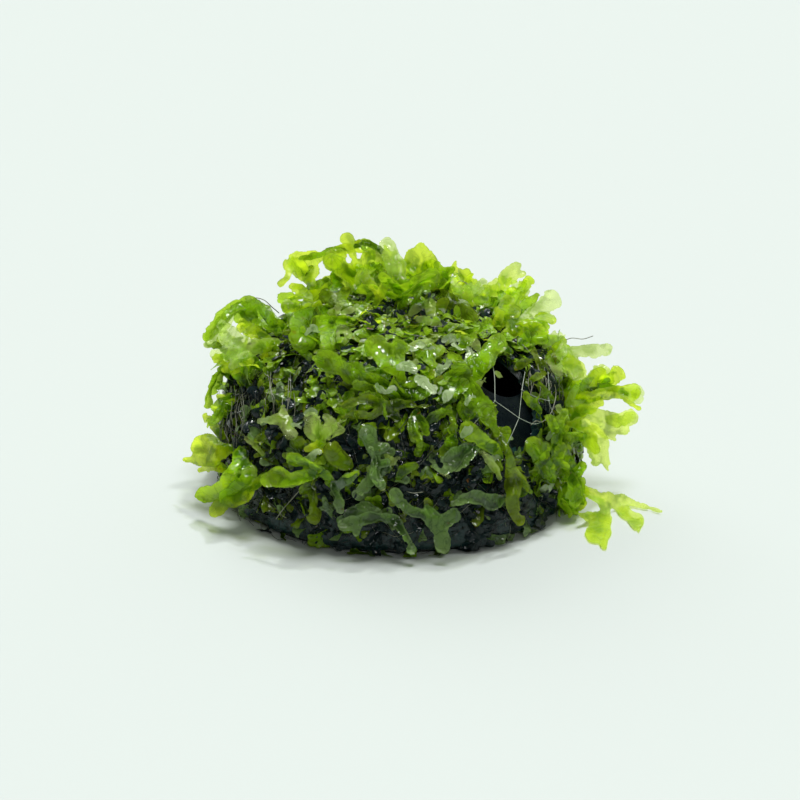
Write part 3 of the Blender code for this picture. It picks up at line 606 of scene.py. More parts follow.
# Thalli: tone, turn of the view about Z, then arms of points with column, row, lift in mm over the
# felt, half width in picture columns and, in some, mm nearer to the eye, or farther where below zero
leaves = {
    "crown_long_arm": ("bright", 0, [
        [(396, 289, 1, 4), (386, 268, 5, 6, -4), (370, 248, 8, 7, -6), (346, 249, 9, 5.5, -6),
         (318, 257, 9, 6.5, -4), (298, 261, 9, 8, -2), (288, 264, 9, 5.5)],
        [(312, 258, 9, 7, -4), (308, 272, 8, 9, -1), (312, 285, 7, 4)],
        [(290, 264, 9, 4), (287, 277, 9, 3.2, 2), (281, 284, 9, 3.2, 3)],
    ]),
    "crown_club_sprig": ("bright", 0, [
        [(368, 293, 1, 4.5), (357, 281, 3.5, 8, 1), (342, 268, 6, 9, 3), (331, 260, 8, 7.5, 4)],
        [(362, 284, 3, 5, 1), (357, 266, 6, 4, 2), (351, 250, 9, 4, 2), (347, 239, 10, 6.5, 1)],
        [(362, 285, 3, 5, 1), (373, 274, 4.5, 7.5, 3), (366, 263, 5.5, 7.5, 3), (371, 253, 6.5, 5.5, 2)],
        [(371, 278, 4, 5, 3), (385, 281, 4.5, 5.5, 5)],
    ]),
    "crown_round_lobe": ("pale", 0, [
        [(406, 292, 1, 4), (399, 275, 5, 7, 2), (391, 257, 8, 9, 3), (387, 246, 9, 10, 2)],
        [(396, 272, 6, 5, 2), (401, 263, 7, 5, 4)],
    ]),
    "crown_upright_blade": ("bright", 0, [
        [(424, 293, 1, 4.5), (423, 277, 4, 9), (421, 261, 7, 8.5), (421, 247, 9, 5)],
        [(419, 282, 3, 5), (411, 267, 5, 5), (411, 253, 6, 4.5)],
        [(428, 283, 3, 5), (433, 268, 5, 6), (429, 254, 6, 4.5)],
    ]),
    "crown_right_fork": ("fresh", 0, [
        [(448, 289, 1, 3.5), (444, 280, 4, 5, 4), (446, 272, 6, 4.5, 5), (452, 269, 7, 2.5, 6)],
        [(444, 281, 4, 4, 4), (438, 265, 6, 4, 6)],
    ]),
    "crown_olive_blade": ("olive", 0, [
        [(436, 293, 1, 5), (448, 300, 2.5, 7.5), (461, 309, 2.5, 8), (474, 318, 2, 5)],
    ]),
    "crown_right_lobe": ("pale", 0, [
        [(466, 304, 1, 3.5), (467, 294, 3, 6.5), (476, 286, 5, 7.5)],
        [(467, 296, 3, 5), (455, 287, 4, 4)],
    ]),
    "right_shoulder_clubs": ("bright", 0, [
        [(490, 309, 1, 4), (496, 296, 4, 6), (504, 281, 7, 7), (512, 271, 8, 6), (517, 266, 9, 5)],
        [(504, 284, 6, 5), (517, 277, 8, 4), (522, 274, 8, 4)],
        [(497, 294, 4, 5), (486, 288, 4, 5.5)],
    ]),
    "right_round_club": ("pale", 0, [
        [(520, 330, 1, 4), (529, 317, 4, 8), (540, 308, 7, 7), (550, 301, 9, 9.5)],
        [(530, 320, 4, 6), (543, 316, 7, 6), (551, 319, 8, 5)],
    ]),
    "right_shoulder_body": ("bright", 0, [
        [(506, 334, 1, 4), (518, 329, 2.5, 8), (532, 330, 4, 9), (543, 333, 5, 6)],
        [(514, 331, 2, 6), (511, 316, 3.5, 8), (513, 303, 4.5, 8), (511, 294, 5.5, 6.5)],
        [(513, 304, 4.5, 4.5), (523, 290, 6, 5), (529, 281, 7, 4)],
    ]),
    "right_long_club": ("bright", 0, [
        [(548, 360, 1, 4), (562, 353, 6, 4), (580, 351, 10, 5.5), (597, 351, 13, 7), (605, 350, 14, 6.5)],
        [(561, 353, 6, 4), (563, 342, 7, 3.5)],
        [(553, 358, 4, 5), (563, 364, 6, 7), (573, 366, 7, 11), (577, 372, 8, 8)],
    ]),
    "right_ring_sprig": ("bright", 0, [
        [(561, 386, 1, 4), (577, 386, 5, 6), (590, 382, 8, 6), (600, 375, 10, 9)],
        [(600, 380, 9, 5), (613, 381, 12, 5), (616, 370, 13, 5.5), (622, 377, 14, 4)],
    ]),
    "right_top_arm": ("bright", 0, [
        [(566, 398, 1, 4), (584, 399, 6, 7), (602, 394, 10, 7), (619, 392, 13, 7), (632, 392, 15, 8)],
        [(624, 396, 13, 4), (631, 403, 14, 2.5), (639, 408, 15, 2)],
    ]),
    "right_middle_club": ("bright", 0, [
        [(568, 410, 1, 4), (588, 412, 6, 8, 3), (604, 418, 9, 7, 4), (619, 419, 12, 7, 4),
         (629, 418, 14, 8, 4)],
        [(602, 421, 9, 6, 4), (614, 430, 11, 5.5, 2), (624, 430, 12, 5, 1)],
        [(590, 415, 6, 5, 3), (604, 434, 9, 4, 1), (615, 439, 11, 1.8)],
    ]),
    "right_hanging_blade": ("bright", 0, [
        [(566, 424, 1, 4), (584, 425, 5, 7, 7), (597, 437, 7, 7.5, 8), (604, 452, 9, 5.5, 8),
         (607, 464, 10, 3, 8), (609, 474, 11, 1.2, 8)],
        [(588, 429, 5, 6, 7), (592, 446, 7, 6, 5), (595, 461, 8, 5, 5)],
    ]),
    "right_low_spray": ("bright", 0, [
        [(572, 482, 1, 4), (585, 490, 5, 5.5), (598, 497, 9, 6), (613, 498, 12, 5), (628, 501, 14, 4),
         (643, 506, 16, 3), (661, 511, 18, 1.2)],
        [(608, 499, 11, 5), (619, 507, 13, 6), (630, 518, 15, 6), (638, 530, 17, 2.5)],
        [(631, 516, 15, 4), (638, 520, 16, 5)],
        [(604, 499, 10, 5), (606, 514, 10, 5.5), (606, 530, 10, 5), (604, 547, 10, 2.5)],
        [(605, 527, 10, 5), (594, 534, 9, 7)],
        [(603, 517, 10, 5), (591, 517, 9, 5), (580, 515, 8, 2)],
    ]),
    "right_curl": ("fresh", 0, [
        [(568, 470, 1, 4), (571, 486, 3, 11), (569, 499, 3, 12), (573, 511, 3, 5)],
        [(572, 480, 2.5, 6), (582, 466, 4, 4.5)],
    ]),
    "right_antler": ("fresh", 0, [
        [(556, 458, 1, 3.5), (557, 441, 3, 6), (558, 425, 4, 6), (564, 413, 5, 5)],
        [(556, 427, 4, 5), (549, 418, 4, 5)],
        [(558, 440, 3, 5), (572, 436, 4, 5), (582, 437, 5, 4.5)],
    ]),
    "right_dark_lobes": ("mid", 0, [
        [(552, 480, 1, 4), (545, 466, 2.5, 7), (537, 450, 3, 9), (531, 443, 3, 8)],
        [(541, 458, 3, 5), (546, 446, 3, 4)],
        [(546, 468, 3, 5), (551, 476, 3.5, 4)],
    ]),
    "front_right_strap": ("olive", 0, [
        [(493, 424, 1, 2.5), (503, 441, 5, 3), (510, 459, 6, 5), (513, 479, 4.5, 8),
         (513, 496, 4.5, 7.5), (512, 504, 4.5, 5)],
        [(511, 500, 4, 5), (515, 512, 5, 6.5), (520, 520, 5.5, 5.5)],
        [(511, 470, 5, 4), (521, 477, 4, 3), (526, 485, 4, 2.8), (528, 491, 4, 1.2)],
    ]),
    "front_pale_strap": ("pale", 0, [
        [(500, 478, 1, 2.2), (494, 468, 3, 4), (487, 458, 4.5, 4.2), (482, 453, 5, 3.2)],
    ]),
    "front_paddle": ("fresh", 0, [
        [(501, 458, 1, 3), (496, 451, 2.5, 5), (488, 444, 4.5, 6), (478, 438, 6, 7),
         (468, 430, 6.5, 8.5)],
    ]),
    "upper_right_paddle": ("fresh", 0, [
        [(474, 382, 1, 4), (482, 366, 3, 8), (491, 352, 4, 9), (499, 341, 5, 7)],
        [(482, 366, 3, 6), (474, 361, 3.5, 7)],
    ]),
    "centre_right_cascade": ("mid", 0, [
        [(441, 400, 1, 4), (447, 386, 2.5, 8), (459, 375, 3, 13)],
        [(462, 380, 3, 8), (475, 394, 4, 9), (484, 406, 4.5, 9), (489, 419, 5, 7), (497, 433, 5, 3.5)],
        [(456, 384, 3, 6), (450, 396, 4, 7)],
        [(472, 400, 4, 6), (469, 410, 5, 6)],
    ]),
    "centre_heart": ("fresh", 0, [
        [(404, 388, 1, 4), (399, 371, 4, 7), (389, 358, 5.5, 11), (377, 347, 6, 13)],
        [(392, 361, 5.5, 8), (398, 349, 6, 10)],
    ]),
    "centre_broad_spread": ("mid", 0, [
        [(400, 405, 1, 4), (395, 392, 3, 8), (378, 384, 3.5, 8), (356, 376, 4, 9), (336, 365, 4.5, 11),
         (325, 360, 4.5, 9)],
        [(398, 391, 3, 8), (412, 391, 4, 9), (424, 390, 4.5, 11)],
        [(360, 377, 4, 6), (357, 369, 4, 8)],
    ]),
    "left_shoulder_broad": ("mid", 0, [
        [(328, 309, 1, 4), (312, 317, 5, 9), (301, 329, 6, 13), (304, 342, 5, 11)],
    ]),
    "left_shoulder_bright": ("fresh", 0, [
        [(347, 320, 1, 4), (333, 320, 3, 6), (320, 324, 4.5, 8.5)],
        [(331, 323, 3, 6), (327, 337, 4.5, 7), (326, 347, 4.5, 6.5)],
    ]),
    "left_shoulder_lobe": ("bright", 0, [
        [(311, 322, 1, 4), (301, 309, 3.5, 7), (288, 306, 6, 8)],
        [(303, 312, 3.5, 5), (308, 297, 5, 5), (297, 289, 7, 4.5)],
    ]),
    "centre_jagged": ("olive", 0, [
        [(398, 419, 1, 4), (386, 407, 2.5, 6), (368, 399, 3, 5), (351, 403, 3, 4.5), (337, 408, 3, 1.6)],
        [(382, 407, 2.5, 5), (372, 415, 2.5, 4), (355, 414, 3, 4), (343, 417, 3, 1.6)],
        [(392, 404, 3, 5), (408, 404, 5, 4), (427, 407, 5, 1.8)],
    ]),
    "centre_hanging_clubs": ("mid", 0, [
        [(417, 411, 1, 3), (412, 424, 3.5, 4.5), (416, 436, 4, 4.5), (420, 445, 4, 4)],
        [(416, 413, 2, 4), (423, 423, 3.5, 4), (426, 432, 4, 4)],
    ]),
    "front_dark_cup": ("mid", 0, [
        [(377, 462, 1, 3), (373, 449, 2.5, 5), (368, 434, 3, 9)],
        [(374, 450, 2.5, 4), (385, 447, 3, 5)],
        [(375, 458, 1.8, 4), (375, 468, 2.5, 4), (376, 478, 3, 5.5), (381, 484, 3, 5)],
        [(376, 465, 2.5, 3.5), (386, 463, 3, 4)],
    ]),
    "front_grey_fork": ("mid", 0, [
        [(472, 446, 1, 3.5), (460, 452, 2.5, 8), (450, 461, 3, 9)],
        [(457, 463, 3, 4), (445, 472, 3.5, 3), (434, 466, 3.5, 3)],
    ]),
    "left_arch": ("bright", 0, [
        [(284, 328, 1, 4), (270, 323, 4, 8), (255, 311, 7, 10), (240, 306, 9, 7), (227, 313, 10, 6),
         (216, 326, 11, 6), (206, 338, 12, 4)],
        [(217, 328, 11, 4), (209, 334, 12, 5.5)],
    ]),
    "left_veil": ("pale", 0, [
        [(277, 342, 1, 4), (262, 345, 4, 8), (246, 348, 6, 9), (231, 338, 8, 10), (223, 326, 9, 6)],
        [(242, 350, 6, 6), (227, 353, 8, 6), (215, 354, 9, 4.5)],
        [(246, 355, 6, 5), (232, 366, 7, 5)],
    ]),
    "left_side_pair": ("fresh", 0, [
        [(231, 396, 1, 3), (222, 402, 3, 4.5), (213, 407, 4, 3)],
        [(224, 402, 3, 3.5), (218, 416, 4, 4.5), (209, 425, 5, 3.5)],
    ]),
    "left_middle_hand": ("bright", 0, [
        [(233, 449, 1, 3.5), (220, 448, 4, 8), (208, 443, 6, 8), (200, 443, 7, 6), (195, 448, 8, 4.5)],
        [(221, 453, 4, 7), (211, 460, 6, 7), (198, 459, 8, 5.5), (186, 460, 10, 2.5)],
    ]),
    "left_low_broad": ("fresh", 0, [
        [(240, 450, 1, 4), (240, 463, 4, 9), (238, 478, 6, 14), (226, 489, 7, 11), (213, 493, 8, 8),
         (202, 495, 9, 8)],
    ]),
    "left_low_tips": ("bright", 0, [
        [(262, 477, 1, 3.5), (254, 487, 4, 5), (240, 498, 6, 7), (226, 502, 7, 8), (215, 511, 9, 6)],
    ]),
    "left_boat": ("pale", 0, [
        [(283, 408, 1, 3), (285, 423, 3.5, 6), (291, 434, 4, 7.5)],
        [(283, 418, 3.5, 4), (271, 420, 4, 4), (260, 421, 4, 3)],
    ]),
    "front_left_roll": ("pale", 0, [
        [(322, 445, 1, 4), (315, 431, 4, 8), (311, 419, 5, 8.5)],
        [(321, 438, 3, 5), (330, 425, 5, 6), (326, 417, 5, 4)],
    ]),
    "front_left_olive": ("olive", 0, [
        [(350, 466, 1, 4), (338, 458, 3, 10), (333, 450, 4, 11)],
    ]),
    "front_left_chain": ("fresh", 0, [
        [(331, 480, 1, 3.5), (320, 471, 4, 5.5), (307, 475, 5, 6.5), (292, 479, 5.5, 7),
         (277, 477, 6, 9), (267, 480, 6, 7)],
        [(319, 471, 4, 4), (305, 463, 5.5, 4.5), (290, 460, 5, 5)],
    ]),
    "front_left_drop": ("olive", 0, [
        [(313, 476, 1, 3.5), (312, 491, 2.5, 5.5), (314, 506, 3, 6), (314, 517, 3, 6.5)],
        [(311, 484, 2, 4), (303, 490, 2.5, 5)],
    ]),
    "front_left_second_drop": ("mid", 0, [
        [(333, 484, 1, 3), (337, 497, 2.5, 5), (341, 511, 3, 5)],
        [(335, 488, 1.8, 3.5), (346, 480, 2.5, 5), (356, 473, 3, 4)],
    ]),
    "low_fork": ("fresh", 0, [
        [(427, 506, 1, 3.5), (433, 519, 3.5, 8), (440, 532, 4, 8.5), (443, 545, 4.5, 9)],
        [(432, 517, 3.5, 6), (414, 512, 3.5, 5), (401, 503, 3.5, 6.5), (395, 494, 3.5, 6.5)],
        [(440, 525, 4, 6), (453, 516, 4, 8.5)],
    ]),
    "low_wave": ("fresh", 0, [
        [(507, 497, 1, 3.5), (493, 502, 3, 8), (477, 497, 3.5, 6.5), (464, 499, 3.5, 5),
         (454, 504, 3.5, 3.5)],
    ]),
    "low_cup": ("fresh", 0, [
        [(394, 518, 1, 4), (402, 531, 3, 5), (408, 541, 3.5, 4.5), (411, 549, 4, 7)],
        [(396, 521, 1.8, 4), (383, 517, 2.2, 4.5), (367, 518, 2.5, 7), (353, 523, 3, 7),
         (344, 525, 3, 6)],
        [(358, 523, 3, 4.5), (356, 533, 3, 4)],
    ]),
    "back_crown_fan": ("fresh", 180, [
        [(402, 326, 1, 4), (394, 308, 4, 8), (380, 294, 8, 9), (366, 284, 11, 8)],
        [(396, 312, 4, 6), (408, 294, 8, 7), (414, 280, 11, 7)],
        [(386, 298, 7, 5), (368, 304, 7, 6)],
        [(402, 318, 3, 5), (420, 316, 4, 7), (436, 320, 4, 7)],
    ]),
    "back_left_spray": ("bright", 236, [
        [(392, 362, 1, 4), (380, 354, 3, 8), (366, 352, 4, 9), (350, 358, 5, 8)],
        [(382, 356, 3, 6), (374, 370, 5, 7), (360, 382, 7, 6.5)],
        [(385, 352, 3, 5), (400, 356, 4, 6.5), (412, 366, 5, 6)],
        [(356, 354, 4.5, 6), (344, 368, 6, 6), (332, 376, 7, 5.5)],
    ]),
    "back_right_spray": ("bright", 142, [
        [(392, 388, 1, 4), (408, 376, 4, 8), (426, 370, 7, 9), (444, 374, 9, 8)],
        [(406, 379, 4, 6), (414, 394, 5, 7), (428, 408, 7, 6.5)],
        [(400, 381, 2.5, 5), (388, 372, 4, 7), (372, 374, 6, 6.5)],
        [(428, 372, 7, 6), (440, 388, 8, 6), (454, 398, 9, 5.5)],
    ]),
    "back_middle_broad": ("mid", 180, [
        [(412, 404, 1, 4), (402, 390, 3, 9), (386, 378, 5, 11), (368, 370, 6, 11)],
        [(405, 393, 3, 7), (420, 378, 5, 9), (438, 372, 7, 9)],
        [(408, 398, 2, 5), (418, 414, 3.5, 7), (424, 430, 5, 6)],
        [(384, 380, 5, 7), (372, 394, 5, 7), (360, 404, 6, 7)],
    ]),
    "back_left_hand": ("fresh", 218, [
        [(404, 412, 1, 4), (388, 412, 4, 9), (370, 420, 6, 9), (354, 434, 8, 7)],
        [(386, 418, 4, 6), (380, 438, 5, 8), (368, 456, 7, 7)],
        [(390, 410, 3.5, 5), (376, 396, 5, 7)],
        [(380, 440, 5, 5), (392, 456, 6, 6), (396, 470, 6, 5)],
    ]),
    "back_right_hand": ("fresh", 120, [
        [(390, 424, 1, 4), (404, 420, 4, 8), (420, 426, 6, 9), (434, 438, 8, 7)],
        [(404, 424, 4, 6), (410, 442, 5, 8), (420, 458, 7, 7)],
        [(402, 417, 3.5, 5), (416, 404, 5, 7)],
        [(410, 444, 5, 5), (398, 458, 6, 6), (392, 472, 6, 5)],
    ]),
    "back_low_strap": ("mid", 172, [
        [(404, 456, 1, 4), (398, 474, 3, 8), (386, 492, 4, 9), (372, 508, 5, 8)],
        [(400, 472, 2.5, 6), (416, 490, 4, 8), (424, 508, 5, 7)],
        [(400, 464, 2.5, 5), (384, 460, 4, 7), (368, 466, 5, 7)],
    ]),
    "left_side_sprig": ("fresh", 274, [
        [(392, 410, 1, 4), (380, 424, 3.5, 8), (364, 434, 5, 8), (350, 448, 6, 7)],
        [(382, 422, 3, 6), (388, 444, 4, 8), (384, 464, 5, 7)],
        [(384, 416, 3, 5), (368, 410, 5, 7)],
        [(388, 446, 4, 5), (402, 458, 5, 6), (408, 472, 5, 5)],
    ]),
    "right_side_sprig": ("fresh", 96, [
        [(420, 424, 1, 4), (432, 438, 3.5, 8), (446, 448, 5, 8), (458, 462, 6, 7)],
        [(430, 436, 3, 6), (424, 456, 4, 8), (430, 476, 5, 7)],
        [(429, 430, 3, 5), (446, 424, 5, 7)],
    ]),
}

# Threads of the net over the window, then its knots, drawn in the same way
netThreads = [
    [(488, 352, 1.4, 1), (494, 372, 1.4, 1), (495, 401, 1.4, 1)],
    [(495, 401, 1.4, 1), (508, 410, 1.4, 1), (519, 418, 1.4, 1)],
    [(525, 372, 1.4, 1), (522, 390, 1.4, 1), (519, 418, 1.4, 1)],
    [(519, 418, 1.4, 1), (512, 434, 1.4, 1), (503, 452, 1.4, 1)],
    [(495, 401, 1.4, 1), (484, 412, 1.4, 1), (474, 424, 1.4, 1)],
    [(522, 390, 1.4, 1), (536, 397, 1.4, 1), (549, 401, 1.4, 1)],
    [(548, 372, 1.4, 1), (549, 387, 1.4, 1), (549, 401, 1.4, 1), (554, 416, 1.4, 1)],
    [(519, 418, 1.4, 1), (534, 424, 1.4, 1), (546, 420, 1.4, 1)],
    [(493.5, 399.5, 1.4, 2), (496.5, 402.5, 1.4, 2)],
    [(517.5, 416.5, 1.4, 2), (520.5, 419.5, 1.4, 2)],
    [(522, 388, 1.4, 2), (522, 392, 1.4, 2)],
    [(549, 399, 1.4, 2), (549, 403, 1.4, 2)],
]

# Smaller thalli between the named ones, read off the picture in the same way
# the sheen ones, and some of the pale ones, paint the lamps' reflections on wet leaves
fillers = [
    ("bright", [[(336, 290, 1, 4), (338, 272, 6, 7), (332, 260, 8, 9), (340, 255, 8, 7)]]),
    ("bright", [[(318, 292, 1, 3), (306, 277, 6, 6), (299, 268, 8, 7), (293, 262, 9, 5)]]),
    ("bright", [[(352, 292, 1, 4), (345, 276, 5, 8), (338, 266, 7, 7)],
                [(345, 276, 5, 5), (356, 268, 6, 5)]]),
    ("paintedBacklit", [[(372, 291, 1, 4), (366, 277, 4, 8), (360, 270, 5, 7)], [(366, 276, 4, 5), (376, 268, 5, 6)]]),
    ("paintedBacklit", [[(392, 290, 1, 4), (382, 272, 4, 7), (374, 258, 7, 7), (366, 249, 8, 5)]]),
    ("paintedBacklit", [[(378, 289, 2, 4), (376, 276, 5, 7), (380, 267, 6, 6)]]),
    ("bright", [[(398, 290, 2, 5), (392, 272, 5, 7), (388, 256, 7, 6), (385, 247, 8, 4)]]),
    ("bright", [[(394, 284, 4, 3), (396, 268, 6, 4), (395, 253, 8, 4)]]),
    ("bright", [[(412, 290, 2, 5), (409, 276, 4, 7), (406, 264, 6, 5), (402, 262, 7, 2)]]),
    ("bright", [[(432, 291, 2, 5), (433, 277, 4, 7), (430, 266, 5, 6)]]),
    ("fresh", [[(448, 292, 1, 4), (440, 279, 4, 5), (447, 273, 5, 4), (452, 268, 6, 2.5)]]),
    ("mid", [[(430, 296, 0.5, 5), (414, 288, 2, 7), (398, 284, 3, 8)], [(414, 288, 2, 6), (420, 280, 3, 6)]]),
    ("mid", [[(345, 300, 0.5, 5), (330, 292, 3, 8), (317, 286, 4, 7)], [(330, 292, 3, 6), (325, 282, 4, 5)]]),
    ("bright", [[(322, 303, 0.5, 4), (312, 297, 2, 5), (303, 294, 3, 4)]]),
    ("bright", [[(308, 292, 3, 2), (300, 288, 5, 4), (292, 286, 6, 3.5)]]),
    ("fresh", [[(300, 322, 0.5, 4), (291, 311, 3, 7), (284, 300, 4, 7), (290, 297, 4, 5)]]),
    ("olive", [[(352, 312, 0.5, 5), (338, 304, 2, 9), (326, 296, 3, 8)],
               [(338, 302, 2, 7), (346, 291, 3, 6)]]),
    ("pale", [[(329, 316, 2, 3), (335, 310, 3, 4.5), (341, 304, 3.5, 4)]]),
    ("pale", [[(343, 313, 1, 2.5), (350, 310, 2, 4), (357, 307, 2, 2.5)]]),
    ("pale", [[(411, 313, 1, 3), (416, 309, 2, 5), (420, 307, 2, 3.5)]]),
    ("pale", [[(434, 318, 1, 3), (431, 311, 2, 5.5), (430, 304, 2, 5)]]),
    ("pale", [[(440, 325, 0.5, 3), (430, 322, 1.5, 5), (420, 320, 1.5, 4)]]),
    ("pale", [[(345, 342, 1, 3), (348, 334, 2, 4), (342, 328, 2.5, 4), (336, 332, 2, 3.5),
               (338, 339, 1.5, 3)]]),
    ("paintedBacklit", [[(470, 306, 1, 4), (467, 296, 4, 7), (464, 289, 5, 5)]]),
    ("pale", [[(470, 300, 2, 4), (477, 290, 4, 7), (483, 283, 5, 5)]]),
    ("fresh", [[(500, 304, 1, 3), (488, 299, 4, 5), (474, 300, 4, 3.5)]]),
    ("paintedBacklit", [[(478, 302, 2, 3), (490, 291, 5, 6), (502, 285, 6, 8), (508, 281, 6, 6)]]),
    ("bright", [[(500, 326, 1, 4), (503, 312, 4, 8), (507, 302, 5, 8)],
                [(503, 314, 4, 6), (515, 312, 5, 6)]]),
    ("pale", [[(514, 310, 2, 4), (512, 300, 5, 7), (508, 296, 5, 6)]]),
    ("pale", [[(520, 300, 3, 3), (525, 289, 6, 5), (529, 281, 7, 4)], [(524, 291, 6, 4), (514, 284, 6, 4)]]),
    ("fresh", [[(520, 312, 3, 4), (530, 302, 5, 6), (537, 296, 6, 3)]]),
    ("bright", [[(532, 328, 3, 4), (542, 318, 6, 5), (551, 320, 7, 4.5)],
                [(541, 322, 5, 4), (545, 330, 6, 3.5)]]),
    ("fresh", [[(520, 344, 1, 4), (532, 336, 3, 9), (541, 328, 4, 7)], [(530, 337, 3, 6), (544, 340, 4, 4)]]),
    ("pale", [[(545, 346, 2, 3), (554, 338, 5, 5), (563, 336, 6, 3)]]),
    ("bright", [[(548, 362, 1, 4), (556, 350, 4, 6), (563, 342, 6, 3.5)],
                [(556, 352, 4, 5), (566, 355, 5, 4)]]),
    ("paintedBacklit", [[(556, 350, 3, 5), (566, 360, 7, 8), (576, 370, 9, 9), (582, 376, 10, 5)]]),
    ("pale", [[(552, 362, 3, 4), (560, 371, 5, 5), (556, 360, 4, 5)]]),
    ("olive", [[(562, 386, 1, 3), (571, 380, 5, 4), (578, 376, 7, 2.5)]]),
    ("paintedBacklit", [[(588, 384, 7, 4), (598, 373, 9, 8), (606, 371, 10, 5)]]),
    ("mid", [[(586, 392, 6, 3), (600, 387, 9, 4), (616, 389, 12, 4), (627, 394, 14, 3)]]),
    ("pale", [[(622, 392, 12, 4), (633, 392, 14, 8), (638, 398, 15, 6)]]),
    ("pale", [[(568, 402, 2, 3), (575, 390, 5, 4), (582, 382, 6, 4)],
              [(570, 404, 3, 3), (580, 402, 5, 3), (586, 394, 6, 3)]]),
    ("bright", [[(572, 420, 2, 4), (585, 408, 6, 8), (598, 402, 8, 6)]]),
    ("paintedBacklit", [[(610, 420, 9, 5), (622, 420, 11, 7), (632, 416, 12, 5)]]),
    ("bright", [[(576, 430, 2, 4), (588, 437, 6, 7), (594, 450, 8, 5)]]),
    ("fresh", [[(560, 500, 1, 4), (575, 495, 3, 7), (580, 482, 4, 7)], [(576, 494, 3, 5), (582, 502, 4, 5)]]),
    ("bright", [[(566, 512, 1, 3), (578, 505, 3, 6), (583, 492, 4, 5)]]),
    ("pale", [[(208, 344, 3, 4), (216, 330, 6, 8), (228, 318, 8, 6)]]),
    ("bright", [[(276, 350, 1, 4), (262, 338, 4, 7), (250, 330, 6, 7), (242, 322, 7, 4)]]),
    ("fresh", [[(280, 334, 1, 4), (268, 322, 4, 7), (262, 310, 6, 5)], [(268, 324, 4, 5), (256, 322, 5, 4)]]),
    ("fresh", [[(262, 368, 1, 4), (248, 358, 3, 7), (236, 350, 5, 6)], [(250, 360, 3, 5), (244, 370, 4, 4)]]),
    ("bright", [[(246, 352, 2, 3), (234, 344, 5, 6), (222, 340, 6, 5)]]),
    ("mid", [[(248, 384, 1, 4), (236, 372, 3, 6), (228, 364, 4, 4)]]),
    ("bright", [[(222, 436, 1, 3), (212, 424, 3, 5), (206, 416, 3, 3)]]),
    ("bright", [[(226, 470, 1, 3), (212, 466, 4, 5), (200, 470, 5, 3)]]),
    ("pale", [[(262, 453, 0.8, 2), (252, 443, 1.5, 3.5), (240, 433, 1.5, 2)]]),
    ("pale", [[(284, 455, 1, 3), (295, 459, 2, 4.5), (305, 464, 1.5, 3)]]),
    ("pale", [[(446, 344, 0.8, 2), (452, 340, 1.5, 3), (457, 337, 1.5, 2)]]),
    ("pale", [[(402, 351, 1, 2.5), (416, 346, 2, 4.5), (431, 341, 2, 3)]]),
    ("pale", [[(402, 371, 1, 2.5), (408, 366, 2, 4), (415, 362, 2, 3)]]),
    ("fresh", [[(466, 420, 0.8, 3), (461, 408, 2, 4), (468, 400, 2.5, 4), (475, 408, 2, 3.5),
                (471, 417, 1.5, 3)]]),
    ("fresh", [[(530, 492, 0.8, 2), (524, 484, 2, 3.5), (519, 475, 2, 2.5)]]),
    ("mid", [[(425, 424, 0.8, 3), (436, 416, 2, 6), (448, 410, 2.5, 5)]]),
    ("fresh", [[(460, 350, 0.8, 3), (466, 342, 2, 5), (474, 336, 2.5, 4)],
               [(466, 342, 2, 4), (458, 336, 2.5, 3)]]),
    ("fresh", [[(468, 372, 0.8, 3), (460, 362, 2, 5), (452, 356, 2.5, 5)]]),
    ("pale", [[(480, 352, 1, 3), (474, 342, 3, 5), (466, 338, 3, 3)]]),
    ("fresh", [[(416, 352, 0.8, 4), (428, 356, 2, 6), (440, 350, 2.5, 5)],
               [(428, 356, 2, 5), (434, 366, 2.5, 4)]]),
    ("mid", [[(392, 264, 6, 4, -3), (378, 250, 8, 5, -5), (362, 244, 9, 4, -5), (340, 249, 9, 3.5, -5),
              (318, 255, 9, 3, -3), (300, 259, 9, 2.5, -1)]]),
    ("mid", [[(386, 286, 3, 2), (377, 270, 5, 2.2), (367, 255, 7, 2.5), (362, 246, 8, 2)]]),
    ("olive", [[(398, 292, 2, 4), (388, 281, 4, 5), (379, 268, 5, 4)]]),
    ("mid", [[(342, 292, 2, 5), (336, 279, 4, 6), (344, 268, 5, 4)]]),
    ("olive", [[(312, 291, 3, 2.5), (309, 280, 5, 3), (311, 268, 7, 2.5)]]),
    ("mid", [[(424, 294, 1, 4), (416, 284, 3, 5), (409, 276, 4, 3)]]),
    ("mid", [[(437, 290, 2, 2.5), (434, 277, 4, 2.5), (428, 266, 5, 2)]]),
    ("mid", [[(542, 342, 2, 4), (534, 329, 4, 6), (540, 318, 5, 4)]]),
    ("olive", [[(562, 374, 3, 3), (557, 361, 5, 3), (552, 350, 5, 2)]]),
    ("mid", [[(496, 316, 2, 4), (504, 304, 4, 5), (500, 294, 5, 3)]]),
    ("mid", [[(590, 394, 7, 3), (584, 385, 8, 4), (592, 378, 9, 3)]]),
    ("mid", [[(572, 444, 2, 3), (582, 432, 5, 5), (594, 428, 7, 3)]]),
    ("fresh", [[(277, 320, 3, 3, 1), (264, 307, 5, 4, 1), (248, 304, 6, 4.5, 1), (232, 310, 7, 4, 1),
                (218, 322, 8, 3, 1)]]),
    ("mid", [[(228, 352, 3, 3), (216, 346, 5, 3.5), (206, 344, 6, 2)]]),
    ("mid", [[(236, 500, 1, 3), (224, 492, 3, 4), (212, 496, 4, 3)]]),
    ("paintedShade", [[(340, 520, 0.6, 4), (352, 515, 1.5, 7), (366, 508, 2, 6), (378, 512, 2, 4)]]),
    ("paintedShade", [[(388, 468, 0.6, 4), (372, 478, 1.5, 7), (362, 490, 2, 6)]]),
    ("mid", [[(398, 478, 0.8, 3), (404, 470, 2, 5), (414, 466, 2, 4)]]),
    ("pale", [[(386, 456, 0.8, 2.5), (390, 461, 2, 4), (397, 459, 2, 3)]]),
    ("pale", [[(372, 478, 0.8, 2.5), (377, 482, 2, 4.5), (382, 488, 1.5, 2.5)]]),
    ("fresh", [[(334, 484, 0.8, 2), (346, 480, 2, 4), (357, 472, 2.5, 3)]]),
